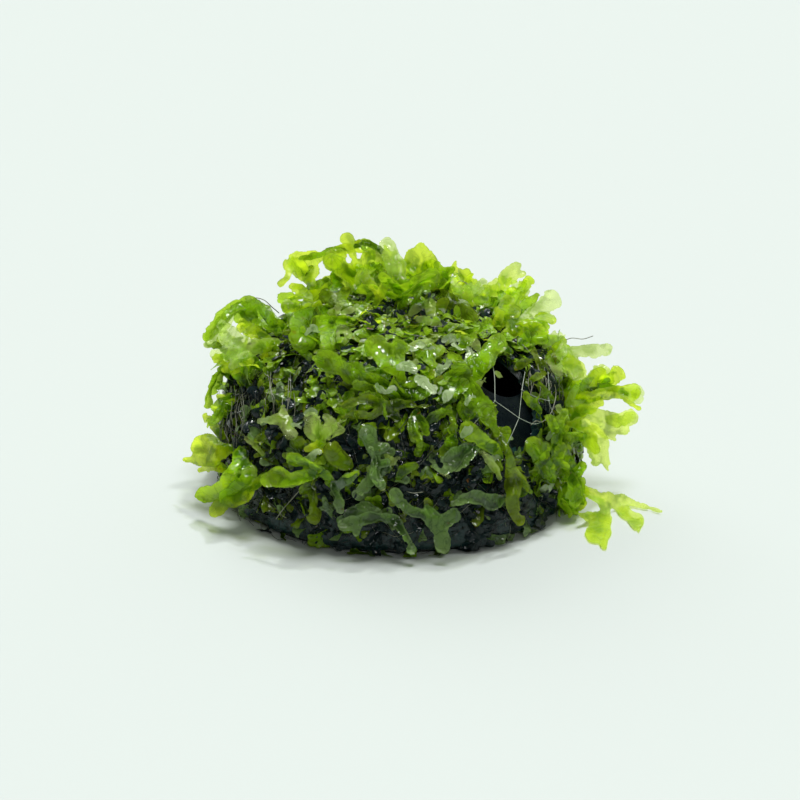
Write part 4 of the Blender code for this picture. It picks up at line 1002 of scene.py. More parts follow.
    ("pale", [[(432, 466, 0.8, 2), (440, 471, 2, 2.6), (449, 477, 1.5, 1.5)]]),
    ("fresh", [[(418, 430, 0.8, 2.5), (416, 440, 2, 4), (420, 449, 2, 3)]]),
    ("mid", [[(454, 436, 0.8, 4), (450, 446, 2, 6), (443, 452, 2, 5)]]),
    ("paintedShade", [[(476, 446, 0.6, 5), (466, 456, 2, 8), (456, 466, 2, 6)]]),
    ("fresh", [[(540, 412, 0.8, 2.5), (532, 403, 2, 4.5), (526, 395, 2.5, 4)],
               [(532, 403, 2, 3), (538, 396, 2.5, 2.5)]]),
    ("pale", [[(496, 372, 1, 2), (500, 375, 2, 3), (503, 378, 2, 2)]]),
    ("pale", [[(568, 420, 1, 2.5), (563, 413, 2.5, 4), (559, 408, 3, 3)]]),
    ("olive", [[(528, 384, 0.8, 3), (534, 378, 2, 4.5), (542, 374, 2, 3)]]),
    ("olive", [[(516, 368, 0.8, 3), (523, 363, 2, 4), (530, 360, 2, 2.5)]]),
    ("pale", [[(470, 386, 1, 2.5), (478, 384, 2, 4), (485, 380, 2, 3)]]),
    ("mid", [[(552, 400, 0.8, 3), (545, 392, 2, 4.5), (540, 384, 2, 3)]]),
    ("fresh", [[(510, 352, 0.8, 3), (504, 346, 2, 4.5), (500, 338, 3, 4)]]),
    ("olive", [[(548, 372, 0.8, 3), (540, 362, 2, 4.5), (534, 352, 2, 4)]]),
    ("sheen", [[(399, 367, 5, 3, 1.5), (407, 366, 5, 6, 1.5), (414, 370, 5, 4, 1.5)]]),
    ("sheen", [[(418, 379, 4.6, 4, 2), (427, 384, 5, 6, 2), (434, 390, 5, 5, 2)]]),
    ("sheen", [[(377, 386, 4, 2.5, 1.5), (385, 392, 4, 3.5, 1.5), (394, 388, 4, 2.5, 1.5)]]),
    ("sheen", [[(405, 346, 1, 3), (413, 349, 2, 4.5), (421, 345, 2, 4)]]),
    ("sheen", [[(420, 352, 1, 2), (427, 350, 2, 3), (434, 349, 2, 2.5)]]),
    ("sheen", [[(444, 340, 1, 3), (451, 339, 2, 4), (459, 340, 2, 3)]]),
    ("sheen", [[(466, 362, 2, 2), (471, 354, 3, 5), (468, 347, 3, 2)]]),
    ("pale", [[(474, 368, 2, 3), (482, 362, 3.5, 7), (489, 358, 3.5, 5)]]),
    ("sheen", [[(438, 374, 1, 3), (442, 367, 2.5, 5), (449, 363, 2.5, 3)]]),
    ("sheen", [[(444, 402, 4, 2, 1), (448, 394, 5, 4.5, 1), (454, 390, 5, 3, 1)]]),
    ("sheen", [[(466, 404, 4, 2, 1.5), (469, 399, 5, 3, 1.5), (474, 397, 5, 2, 1.5)]]),
    ("sheen", [[(464, 434, 6, 4, 1), (468, 429, 6.5, 5, 1)]]),
    ("mid", [[(362, 442, 0.8, 4), (365, 432, 2, 7), (372, 427, 2, 5)]]),
    ("fresh", [[(384, 404, 3, 1.5, 1), (386, 417, 4, 1.5, 1), (390, 430, 3, 1.2, 1)]]),
    ("sheen", [[(262, 424, 0.8, 2), (272, 418, 2, 3.5), (280, 420, 2, 3)]]),
    ("sheen", [[(306, 414, 1, 3), (312, 411, 2, 4), (318, 416, 2, 3)]]),
    ("sheen", [[(306, 334, 5, 2, 1), (312, 328, 6, 4, 1), (318, 331, 6, 3, 1)]]),
    ("sheen", [[(288, 430, 1, 2), (294, 425, 2, 3), (301, 428, 2, 2)]]),
    ("sheen", [[(302, 462, 3, 3, 1), (311, 457, 4, 4, 1), (318, 452, 4, 3, 1)]]),
    ("sheen", [[(490, 464, 1, 2), (494, 458, 2, 3), (500, 456, 2, 2)]]),
    ("sheen", [[(548, 438, 1, 2), (552, 432, 3, 3), (558, 430, 3, 2)]]),
    ("fresh", [[(276, 331, 1, 4), (262, 321, 4, 8), (248, 316, 6, 8), (238, 319, 7, 5)]]),
    ("bright", [[(268, 334, 1, 3), (256, 329, 4, 6), (242, 328, 6, 5)]]),
    ("bright", [[(262, 312, 3, 2), (252, 308, 5, 3.5), (242, 312, 6, 3)]]),
    ("paintedBacklit", [[(374, 290, 3, 4, 1.5), (366, 279, 6, 7, 1.5), (359, 268, 7, 6, 1.5)]]),
    ("bright", [[(356, 290, 3, 3, 1), (360, 276, 6, 5, 1), (372, 266, 7, 5, 1)]]),
    ("fresh", [[(548, 472, 1, 4), (556, 460, 3, 6), (562, 447, 4, 5)], [(556, 460, 3, 4), (566, 466, 4, 4)]]),
    ("fresh", [[(574, 470, 1, 3), (567, 453, 3, 5), (571, 438, 4, 4)]]),
    ("bright", [[(556, 436, 1, 2.5), (562, 444, 3, 4), (570, 448, 4, 3)]]),
]


# Shell, window and felt

window = {
    "spot": (28.0 * mm, 32.0 * mm),     # right and up in the front view
    "across": 9.0 * mm, "along": 8.2 * mm, "deep": 12 * mm, "bevel": 2.0 * mm, "sides": 72,
}
patch = {"spot": (27.7 * mm, 25.6 * mm), "across": 10.0 * mm, "along": 17.0 * mm, "deep": 20 * mm}
shell = {
    "around": 160, "rings": 44, "sharp": math.radians(38),
    "ripple": 0.12 * mm, "rippleLong": 9 * mm, "rippleSpan": 50 * mm, "rippleSeeds": (3.0, 8.0),
}


def shellFrame(spot):
    # centre, level, slope and outward directions of a spot of the front view on the shell
    sink = dome["feltThick"] + dome["fitGap"]
    right, up, into = viewFrame(0)
    start = right * spot[0] + up * spot[1] - into * photoView["sightBack"]
    centre = start + into * meetDome(start, into, 0.0, sink)
    level = math.hypot(centre.x, centre.y)
    power = dome["shoulder"] - 1
    side = (level / (dome["radius"] - sink)) ** power / (dome["radius"] - sink)
    rise = (centre.z / (dome["height"] - sink)) ** power / (dome["height"] - sink)
    out = Vector((centre.x / level * side, centre.y / level * side, rise)).normalized()
    across = Vector((0, 0, 1)).cross(out).normalized()
    return centre, across, out.cross(across), out


def skinWays(around, rings, foot=0.0):
    # unit directions in rings from the foot to the crown, then the crown itself
    rise = foot + (math.pi / 2 - foot) * np.arange(rings)[:, None] / rings
    turn = 2 * math.pi * np.arange(around)[None, :] / around
    ways = np.stack([np.cos(rise) * np.cos(turn), np.cos(rise) * np.sin(turn),
                     np.sin(rise) * np.ones_like(turn)], axis=2).reshape(-1, 3)
    return np.vstack([ways, [[0, 0, 1]]])


def skinFaces(around, rings, flip=False, start=0):
    faces = []
    for ring in range(rings):
        for place in range(around):
            after = (place + 1) % around
            a, b = ring * around + place, ring * around + after
            face = [a, b, b + around, a + around] if ring < rings - 1 else [a, b, rings * around]
            faces.append([start + corner for corner in (face[::-1] if flip else face)])
    return faces


def makeWall():
    around, rings = shell["around"], shell["rings"]
    sink = dome["feltThick"] + dome["fitGap"]
    ways = skinWays(around, rings)
    sides = []
    for extra, seed in zip((0.0, dome["shellWall"]), shell["rippleSeeds"]):
        scale = shell["rippleSpan"] / shell["rippleLong"]
        spots = [Vector(way) * scale + Vector((seed, 0, 0)) for way in ways]
        wave = shell["ripple"] * np.array([noise.noise(spot) for spot in spots])
        points = ways * (domeReach(ways, sink + extra) + wave)[:, None]
        points[:around, 2] = 0.0
        sides.append(points)
    count = len(ways)
    faces = skinFaces(around, rings) + skinFaces(around, rings, True, count)
    faces += [[place, count + place, count + (place + 1) % around, (place + 1) % around]
              for place in range(around)]
    return meshObject("halfShell", np.vstack(sides), faces)


def windowPlug():
    # an oval bar through the wall that widens outwards
    centre, across, slope, out = shellFrame(window["spot"])
    n = window["sides"]
    deep, bevel = window["deep"], window["bevel"]
    corners = []
    for height, grow in ((-deep, 0), (-bevel, 0), (deep, deep + bevel)):
        for side in range(n):
            turn = 2 * math.pi * side / n
            corners.append(centre + out * height + across * math.cos(turn) * (window["across"] + grow)
                           + slope * math.sin(turn) * (window["along"] + grow))
    faces = [list(range(n))[::-1], list(range(2 * n, 3 * n))]
    for ring in range(2):
        for side in range(n):
            a, b = ring * n + side, ring * n + (side + 1) % n
            faces.append([a, b, b + n, a + n])
    plug = bpy.data.objects.new("windowPlug", bpy.data.meshes.new("windowPlug"))
    plug.data.from_pydata(corners, [], faces)
    plug.location = middle
    bpy.context.scene.collection.objects.link(plug)
    return plug


def makeShell():
    wall, plug = makeWall(), windowPlug()
    cut = wall.modifiers.new("window", "BOOLEAN")
    cut.operation, cut.solver, cut.object = "DIFFERENCE", "EXACT", plug
    bpy.context.view_layer.update()
    cutMesh = bpy.data.meshes.new_from_object(wall.evaluated_get(bpy.context.evaluated_depsgraph_get()))
    wall.modifiers.clear()
    wall.data = cutMesh
    wall.data.name = "halfShell"
    wall.data.shade_smooth()
    wall.data.set_sharp_from_angle(angle=shell["sharp"])
    bpy.data.objects.remove(plug, do_unlink=True)
    wall.data.materials.append(looks["shell"])
    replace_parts(wall, "half_shell")


felt = {
    "around": 330, "rings": 100, "foot": 0.9 * mm,
    # the mat lies under the small leaves that fill the solid's skin, less deep towards the foot
    "heights": (8 * mm, 17 * mm), "sinks": (1.1 * mm, 2.3 * mm),
    "lumps": ((5.5 * mm, 0.9 * mm), (2.2 * mm, 0.5 * mm)),
    "creases": ((3.4 * mm, 0.8 * mm), (1.5 * mm, 0.4 * mm)), "creaseFlat": 2.0,
    "lip": 1.8 * mm, "lipPower": 0.6,       # over which it thins out round the bare patch
    "lipWave": 0.9 * mm, "lipWaveLong": 2.6 * mm,
    "footRise": 2 * mm, "footPower": 0.5, "footShare": 0.35,    # over which it thins out at the foot
    "thinnest": 0.1 * mm,
}


def patchGap(points):
    # distance in metres, about, from the bare patch's edge; negative in the patch
    centre, across, slope, out = shellFrame(patch["spot"])
    gap = points - np.array(centre)
    flat = np.hypot(gap @ np.array(across) / patch["across"], gap @ np.array(slope) / patch["along"])
    value = (flat - 1) * (patch["across"] + patch["along"]) / 2
    value[gap @ np.array(out) < -patch["deep"]] = 1.0       # the far side of the dome
    return value


def gapAt(spot):
    return float(patchGap(np.array([spot]))[0])


def makeFelt():
    around, rings = felt["around"], felt["rings"]
    ways = skinWays(around, rings, math.asin(felt["foot"] / dome["radius"]))
    sink = np.interp(ways[:, 2] * domeReach(ways), felt["heights"], felt["sinks"])
    for long, high in felt["lumps"]:
        sink -= high * np.array([noise.noise(Vector(way) * dome["radius"] / long) for way in ways])
    for long, high in felt["creases"]:
        spots = [Vector((x, y, z * felt["creaseFlat"])) * dome["radius"] / long for x, y, z in ways]
        sink += high * np.array([abs(noise.noise(spot)) * 2 - 0.5 for spot in spots])
    points = ways * (domeReach(ways) - sink)[:, None]
    wave = np.array([noise.noise(Vector(p) / felt["lipWaveLong"]) for p in points])
    gap = patchGap(points) + felt["lipWave"] * wave
    share = np.clip(gap / felt["lip"], 0, 1) ** felt["lipPower"]
    footShare = np.clip((points[:, 2] - felt["foot"]) / felt["footRise"], 0, 1) ** felt["footPower"]
    low = dome["feltThick"] + felt["thinnest"]
    sink = low + (sink - low) * np.minimum(share, felt["footShare"] + (1 - felt["footShare"]) * footShare)
    points = ways * (domeReach(ways) - sink)[:, None]
    points[:around, 2] = felt["foot"]
    faces = [face for face in skinFaces(around, rings) if max(gap[corner] for corner in face) > 0]
    mat = meshObject("rootFelt", points, faces)
    mat.data.materials.append(looks["felt"])
    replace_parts(mat, "root_felt")


makeShell()
makeFelt()
print("shell and felt made")


# The thalli that are solids too, each on its own node's place

leafRelief = {
    "pitch": 0.42 * mm,
    "curl": 0.7 * mm, "curlWidth": 1.4 * mm, "curlLong": 8 * mm, "curlWay": (-0.4, 0.4),
    "frill": 0.7 * mm, "frillLong": 2.0 * mm,
    "fold": 1.1 * mm, "foldLong": 4.4 * mm,
    "crease": 0.3 * mm, "creaseLong": 1.9 * mm,
    "bank": 0.75, "bankWave": 1.6, "bankLong": 7 * mm,      # how steeply a ribbon leans to one side
    "tint": (-0.3, 0.3),
    "seed": 11, "fillerSeed": 9000, "seedStep": 20,
}
twin = {
    # a second ribbon beside some arms: how often there is one, then its size and place against the drawn arm
    "often": 0.75, "shortest": 0.6, "least": 3,
    "shift": (0.4, 0.9), "shiftStart": 0.2,
    "half": 0.72, "halfSpread": (0.75, 1.1),
    "depth": (0.7 * mm, 1.7 * mm), "depthStart": 0.3,
    "pitch": 1.15, "seed": 500,
}


def sheetRelief(points, curves, margin, free, rng):
    # curled rims, frills, folds and banked ribbons, as a rise of each point out of the sheet's plane
    curlSeed, frillSeed, foldSeed, bankSeed, creaseSeed = (noiseSeed(rng) for _ in range(5))
    rim = (1 - np.clip(margin / leafRelief["curlWidth"], 0, 1)) ** 2
    curl = noiseAt(points, leafRelief["curlLong"], curlSeed) + rng.choice(leafRelief["curlWay"])
    rise = leafRelief["curl"] * rim * curl
    rise += leafRelief["frill"] * rim * noiseAt(points, leafRelief["frillLong"], frillSeed)
    rise += leafRelief["fold"] * noiseAt(points, leafRelief["foldLong"], foldSeed)
    rise += leafRelief["crease"] * noiseAt(points, leafRelief["creaseLong"], creaseSeed)
    wave = leafRelief["bankWave"] * noiseAt(points, leafRelief["bankLong"], bankSeed)
    rise += leafRelief["bank"] * (rng.uniform(-1, 1) + wave) * acrossArms(points, curves)
    return rise * free


def twinRibbon(curve, rng):
    # a narrower ribbon that runs beside and over a drawn one, and ends before it
    last = rng.randint(max(twin["least"], int(len(curve) * twin["shortest"])), len(curve))
    part = curve[:last].copy()
    way = unitRows(np.gradient(part[:, :2], axis=0))
    shift = rng.choice((-1, 1)) * rng.uniform(*twin["shift"]) * part[:, 3]
    shift = shift * np.linspace(twin["shiftStart"], 1, len(part))
    part[:, 0] -= way[:, 1] * shift
    part[:, 1] += way[:, 0] * shift
    depth = rng.choice((-1, 1, 1)) * rng.uniform(*twin["depth"])
    part[:, 2] += depth * np.linspace(twin["depthStart"], 1, len(part))
    part[:, 3] *= twin["half"] * rng.uniform(*twin["halfSpread"])
    return part


def addSheet(heap, curves, root, frameOfView, seed, pitch):
    # one sheet through arms given by right, up, into and half width
    rng = random.Random(seed)
    tint = rng.uniform(*leafRelief["tint"])
    curves = [wavyWidths(curve, rng) for curve in curves]
    points, faces, margin = flatSheet(curves, pitch, seed, bites=marginBites(curves, rng))
    away = np.linalg.norm(points - root, axis=1)
    free = np.minimum(1.0, away / sheet["rootFree"])
    rise = sheetRelief(points, curves, margin, free, rng)
    depth = boneDepth(points, curves) + rise
    right, up, into = (np.array(way) for way in frameOfView)
    solid = points[:, :1] * right + points[:, 1:] * up + depth[:, None] * into
    lowest = dome["floorClear"] / 2
    low = solid[:, 2] < lowest
    solid[low] -= ((solid[low, 2] - lowest) / into[2])[:, None] * into
    heap.add(solid, faces, margin=margin, reach=away / away.max(), tint=np.full(len(points), tint), fold=rise)


# Leaves whose look differs from that of their slot: in the lower shade, or thin with the light behind them
otherLooks = {
    "low_fork": "paintedShade", "low_wave": "paintedShade", "low_cup": "paintedShade", "front_left_second_drop": "paintedShade",
    "front_grey_fork": "paintedShade", "front_dark_cup": "paintedShade", "right_long_club": "pale", "back_low_strap": "paintedShade",
    "left_arch": "fresh", "right_low_spray": "paintedBacklit", "right_shoulder_clubs": "paintedBacklit",
    "right_middle_club": "paintedBacklit", "right_hanging_blade": "paintedBacklit",
}
# Leaves that the picture shows as one clean sheet, with nothing over them
cleanLeaves = (
    "right_low_spray", "right_hanging_blade", "right_middle_club", "right_long_club", "left_arch",
    "left_boat", "front_right_strap", "front_pale_strap", "front_paddle", "low_fork", "low_wave", "low_cup",
    "left_middle_hand", "centre_heart", "front_left_drop", "front_left_second_drop", "front_grey_fork",
    "crown_round_lobe", "right_round_club", "right_top_arm", "left_low_tips", "crown_long_arm",
    "crown_club_sprig", "crown_upright_blade", "right_shoulder_clubs",
)


def makeLeaf(name, tone, turn, drawing, seed):
    rng = random.Random(seed)
    frameOfView = viewFrame(turn)
    curves = drawnCurves(drawing, frameOfView)
    root = np.array(curves[0][0][:2])
    pitch = leafRelief["pitch"]
    twinSeed = twin["seed"] + seed * leafRelief["seedStep"]
    heap = Heap()
    addSheet(heap, curves, root, frameOfView, seed, pitch)
    for number, curve in enumerate(curves):
        if name not in cleanLeaves and rng.random() < twin["often"]:
            ribbon = [twinRibbon(curve, rng)]
            addSheet(heap, ribbon, root, frameOfView, twinSeed + number, pitch * twin["pitch"])
    leaf = heap.build(name + "_thallus", looks[otherLooks.get(name, tone)], "leaf_" + tone)
    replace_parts(leaf, name)


for number, (name, (tone, turn, drawing)) in enumerate(leaves.items()):
    makeLeaf(name, tone, turn, drawing, leafRelief["seed"] + number)
print("thalli made:", len(leaves))


# Slots of the tones that no slot is named after
toneSlots = {"dark": "felt", "paintedShade": "leaf_mid", "sheen": "leaf_pale", "paintedBacklit": "leaf_bright"}


def slotOf(tone):
    return toneSlots.get(tone, "leaf_" + tone)


def buildHeaps(heaps, name):
    for tone, heap in heaps.items():
        heap.build(name + "_" + tone, looks[tone], slotOf(tone))


def makeFillers():
    # smaller thalli that the picture shows between the named ones, gathered by tone
    frameOfView = viewFrame(0)
    heaps = {}
    for number, (tone, drawing) in enumerate(fillers):
        curves = drawnCurves(drawing, frameOfView)
        root = np.array(curves[0][0][:2])
        heap = heaps.setdefault(tone, Heap())
        addSheet(heap, curves, root, frameOfView, leafRelief["fillerSeed"] + number, leafRelief["pitch"])
    buildHeaps(heaps, "fillThalli")


makeFillers()
print("filling thalli made:", len(fillers))


# Small thalli, alive and dead, that pack the felt's skin between the large ones

sprout = {
    "bow": (-0.3, 0.3),
    "widths": (0.45, 0.8, 1.0, 0.9), "widthSpread": (0.85, 1.15),
    "sides": ((-1,), (1,), (-1, 1), (-1, 1), (1, -1, 1)),       # the sides on which it may fork
    "armFrom": (0.35, 0.85), "armTurn": (0.5, 1.1), "armLong": (0.28, 0.5), "armHalf": (0.65, 0.95),
    # points along a side arm, as shares of its length, turn and width
    "armNodes": ((0.0, 1.0, 0.8), (0.55, 1.0, 1.0), (1.0, 1.15, 0.9)),
}


def growThallus(rng, length, half):
    # a short ribbon that widens and forks, flat, with its rise in the third place
    bow = rng.uniform(*sprout["bow"]) * length
    main = []
    for step, wide in enumerate(sprout["widths"]):
        share = step / (len(sprout["widths"]) - 1)
        width = half * wide * rng.uniform(*sprout["widthSpread"])
        main.append((length * share, bow * share ** 2, 0.0, width))
    arms = [main]
    for side in rng.choice(sprout["sides"]):
        share = rng.uniform(*sprout["armFrom"])
        x, y = length * share, bow * share ** 2
        turn = side * rng.uniform(*sprout["armTurn"])
        size = length * rng.uniform(*sprout["armLong"])
        width = half * rng.uniform(*sprout["armHalf"])
        arm = []
        for share, curl, wide in sprout["armNodes"]:
            far = size * share
            arm.append((x + far * math.cos(turn * curl), y + far * math.sin(turn * curl), 0.0, width * wide))
        arms.append(arm)
    return [smoothArm(arm) for arm in arms]


smallThalli = {
    "living": 10500, "dead": 6500,              # tries
    "livingPitch": 0.55 * mm, "deadPitch": 0.72 * mm,
    "seed": 5136, "shapeSeed": 300,
    "shapes": 30,                               # outlines that the small thalli share
    "long": (2.8 * mm, 8.2 * mm), "half": (0.6 * mm, 1.55 * mm), "ragged": 0.35,
    "root": -2.7 * mm,                          # over the felt solid's skin, as the next ones
    "tip": (-0.9 * mm, 1.2 * mm), "tipPower": 0.7, "overTip": 1.2,
    "lowest": -3.0 * mm, "top": 1.4 * mm, "topShare": 0.1,
    "lowSkirt": 14 * mm,                        # below this height they lie closer
    "skirt": (5 * mm, 16 * mm), "skirtShare": (0.12, 1.0),      # the dead ones thin out towards the foot
    "roll": math.radians(52),
    "wave": 0.9 * mm, "waveLong": 2.4 * mm, "curl": 1.0 * mm, "curlWidth": 1.2 * mm,
    "gap": 1.75 * mm,
    "floor": 0.7 * mm, "foot": 1.2 * mm,
    "patchGap": 1.5 * mm, "overPatch": 2.2 * mm, "leastFaces": 12,
    "leafy": 0.7, "sparse": 0.5,
    "reach": 0.8, "tint": (-0.75, 0.4),
}

# Tones as often as they stand in each ground, and how flat the thalli lie there
grounds = {
    "dead": {"tones": ("dark", "dark", "dark", "dark", "olive"), "flatness": 1.2 * mm},
    "foot": {"tones": ("paintedShade", "paintedShade", "mid", "dark"), "flatness": 0.6 * mm},
    "lit": {"tones": ("bright", "sheen", "fresh", "fresh", "fresh", "fresh", "mid", "mid", "mid", "olive"),
            "flatness": 0.0},
    "shade": {"tones": ("fresh", "mid", "olive", "paintedShade", "dark", "dark"), "flatness": 0.4 * mm},
}

# Living leaf over the picture: by row from the top, then in ellipses of column, row, half width and height
leafRows = (385, 0.95), (400, 0.6), (440, 0.34), (480, 0.22), (520, 0.16)
leafPlaces = [
    (262, 395, 36, 62, 0.42), (300, 440, 50, 34, 0.30), (405, 462, 70, 50, 0.08), (410, 306, 42, 20, 0.35),
    (545, 385, 34, 34, 0.35), (400, 532, 170, 30, 0.10), (290, 495, 60, 30, 0.20), (566, 450, 36, 60, 0.9),
    (330, 380, 40, 26, 0.9), (505, 450, 40, 26, 0.6),
]
# Living leaf on the side that the picture doesn't show: in patches, and more of it higher up
farSide = {
    "share": 0.5, "patchy": 0.54, "patchLong": 15 * mm, "patchSeed": (4, 7, 1),
    "height": 22 * mm, "rise": 60 * mm, "least": 0.15, "low": 8 * mm, "lowShare": 0.5,
}


crownRise = 0.98        # a direction that rises more than this is the crown's


def pictureSpot(point):
    # column and row at which the picture shows a point
    right, up, into = viewFrame(0)
    half = photoView["size"] / 2
    gap = point - (viewTarget(right, up) - into * photoView["away"])
    scale = photoView["away"] / gap.dot(into) / photoView["pixel"]
    return half + gap.dot(right) * scale, half - gap.dot(up) * scale


def leafiness(point):
    # how much living leaf a place on the dome has, from 0 to 1
    if point.dot(viewFrame(0)[2]) >= 0:
        share = farSide["share"] + (point.z - farSide["height"]) / farSide["rise"]
        share += farSide["patchy"] * noise.noise(point / farSide["patchLong"] + Vector(farSide["patchSeed"]))
        share = min(1.0, max(farSide["least"], share))
        return share * farSide["lowShare"] if point.z < farSide["low"] else share
    column, row = pictureSpot(point)
    share = float(np.interp(row, *zip(*leafRows)))
    for middleColumn, middleRow, wide, tall, value in leafPlaces:
        if math.hypot((column - middleColumn) / wide, (row - middleRow) / tall) < 1:
            share = value
    return share


def thallusShapes(rng, pitch):
    shapes = []
    for index in range(smallThalli["shapes"]):
        length = rng.uniform(*smallThalli["long"])
        half = rng.uniform(*smallThalli["half"])
        curves = growThallus(rng, length, half)
        seed = smallThalli["shapeSeed"] + index
        points, faces, margin = flatSheet(curves, pitch, seed, smallThalli["ragged"])
        shapes.append((points, faces, margin, length))
    return shapes


def skinFrame(out):
    # level and slope directions on the dome's skin
    level = np.cross([0, 0, 1.0], out) if abs(out[2]) < crownRise else np.array([1.0, 0, 0])
    level /= np.linalg.norm(level)
    return level, np.cross(out, level)


def layThallus(shape, way, turn, rng, flatness):
    # bends a flat shape over the dome, from its root under the skin to its tip
    points, faces, margin, length = shape
    out = np.array(way)
    level, slope = skinFrame(out)
    along = level * math.cos(turn) + slope * math.sin(turn)
    across = np.cross(out, along)
    foot = out * reachOf(out)
    spots = foot + points[:, :1] * along + points[:, 1:] * across
    ways = spots / np.linalg.norm(spots, axis=1)[:, None]
    share = np.clip(points[:, 0] / length, 0, smallThalli["overTip"])
    tip = rng.uniform(*smallThalli["tip"]) - flatness
    lift = smallThalli["root"] + (tip - smallThalli["root"]) * share ** smallThalli["tipPower"]
    lift += points[:, 1] * math.tan(rng.uniform(-1, 1) * smallThalli["roll"])
    wave = smallThalli["wave"] * noiseAt(points, smallThalli["waveLong"], noiseSeed(rng))
    rim = (1 - np.clip(margin / smallThalli["curlWidth"], 0, 1)) ** 2
    wave += rng.uniform(-1, 1) * smallThalli["curl"] * rim
    top = min(1.0, smallThalli["topShare"] + foot[2] / smallThalli["lowSkirt"]) * smallThalli["top"]
    lift = np.clip(lift + wave, smallThalli["lowest"], top)
    solid = ways * (domeReach(ways) + lift)[:, None]
    solid[:, 2] = np.maximum(solid[:, 2], smallThalli["floor"])
    return solid, faces, margin, share, -wave


def domeWay(rng):
    # an even scatter of directions over the dome, down to the floor
    rise = math.asin(rng.uniform(0.0, 1.0))
    turn = anyTurn(rng)
    return Vector((math.cos(rise) * math.cos(turn), math.cos(rise) * math.sin(turn), math.sin(rise)))


def groundOf(kind, spot, leafy):
    if kind == "dead":
        return grounds["dead"]
    if spot.z < smallThalli["lowSkirt"] and leafy < smallThalli["sparse"]:
        return grounds["foot"]
    return grounds["lit" if leafy > smallThalli["leafy"] else "shade"]


def addSmall(heaps, shapes, way, ground, rng):
    # one small thallus, less what would hang over the bare patch
    tone = rng.choice(ground["tones"])
    shape = rng.choice(shapes)
    solid, faces, margin, share, fold = layThallus(shape, way, anyTurn(rng), rng, ground["flatness"])
    keep = patchGap(solid) > -smallThalli["overPatch"]
    faces = faces[keep[faces].all(axis=1)]
    if len(faces) < smallThalli["leastFaces"]:
        return
    reach = np.clip(share, 0, 1) * smallThalli["reach"]
    tint = np.full(len(solid), rng.uniform(*smallThalli["tint"]))
    heaps[tone].add(solid, faces, margin=margin, reach=reach, tint=tint, fold=fold)


def scatterThalli():
    rng = random.Random(smallThalli["seed"])
    shapes = {kind: thallusShapes(rng, smallThalli[kind + "Pitch"]) for kind in ("living", "dead")}
    heaps = {tone: Heap() for tone in tissue}
    for kind in ("dead", "living"):
        placed = []
        for _ in range(smallThalli[kind]):
            way = domeWay(rng)
            spot = way * reachOf(way)
            if spot.z < smallThalli["foot"] or gapAt(spot) < smallThalli["patchGap"]:
                continue
            leafy = share = leafiness(spot)
            if kind == "dead":
                share = np.interp(spot.z, smallThalli["skirt"], smallThalli["skirtShare"])
            if rng.random() > share:
                continue
            if any((spot - other).length_squared < smallThalli["gap"] ** 2 for other in placed):
                continue
            placed.append(spot)
            addSmall(heaps, shapes[kind], way, groundOf(kind, spot, leafy), rng)
        print("small thalli,", kind + ":", len(placed))
    for tone, heap in heaps.items():
        if heap.count:
            name = "deadThalli" if tone == "dark" else "smallThalli_" + tone
            heap.build(name, looks[tone], slotOf(tone))


scatterThalli()


tufts = {
    "seed": 404, "edgeSeed": 7000,
    "each": 7, "half": (0.9 * mm, 1.7 * mm), "pitch": 0.55 * mm, "ragged": 0.6,
    "stray": 1.92 * mm, "swing": 0.09,          # how far its tip and its foot leave the drawn arm
    "root": 2.2 * mm, "rootFree": 3 * mm, "shortest": 2.5 * mm, "longest": 15 * mm, "grown": 0.86,
    "bow": (-0.25, 0.25), "tint": (-0.35, 0.3),
    "patchGap": 0.5 * mm,
    "leafy": 0.3,               # the least living leaf that a place on the dome has where one stands
}
# Tones that stand round a named thallus of each tone
tuftTones = {
    "bright": ("bright", "bright", "bright", "mid"), "pale": ("pale", "bright", "bright"),
    "fresh": ("fresh", "mid", "bright"), "mid": ("mid", "fresh", "olive"), "olive": ("olive", "mid"),
}


def addTuft(heap, foot, tip, rng, seed):
    # a small forked ribbon from a foot on the dome to a tip, turned at random about its own way
    way = tip - foot
    length = np.linalg.norm(way)
    if length < tufts["shortest"]:
        return
    way /= length
    other = np.cross(way, anyWay(rng))
    other /= np.linalg.norm(other)
    out = np.cross(way, other)
    curves = growThallus(rng, length * tufts["grown"], rng.uniform(*tufts["half"]))
    points, faces, margin = flatSheet(curves, tufts["pitch"], seed, tufts["ragged"])
    free = np.minimum(1.0, np.abs(points[:, 0]) / tufts["rootFree"])
    rise = sheetRelief(points, curves, margin, free, rng)
    share = np.clip(points[:, 0] / length, 0, 1)
    rise += rng.uniform(*tufts["bow"]) * length * share ** 2
    solid = foot + points[:, :1] * way + points[:, 1:] * other + rise[:, None] * out
    solid[:, 2] = np.maximum(solid[:, 2], dome["floorClear"] / 2)
    tint = np.full(len(points), rng.uniform(*tufts["tint"]))
    heap.add(solid, faces, margin=margin, reach=share, tint=tint, fold=rise)


def tuftEnds(curve, frameOfView, rng):
    # a foot on the dome and a tip near a spot between the first quarter and the last fifth of an arm
    right, up, into = (np.array(way) for way in frameOfView)
    spot = curve[rng.randrange(len(curve) // 4, max(2, len(curve) * 4 // 5))]
    tip = spot[0] * right + spot[1] * up + spot[2] * into + anyWay(rng) * tufts["stray"]
    base = tip / np.linalg.norm(tip) + anyWay(rng) * tufts["swing"]
    base /= np.linalg.norm(base)
    return base * (reachOf(base) - tufts["root"]), tip


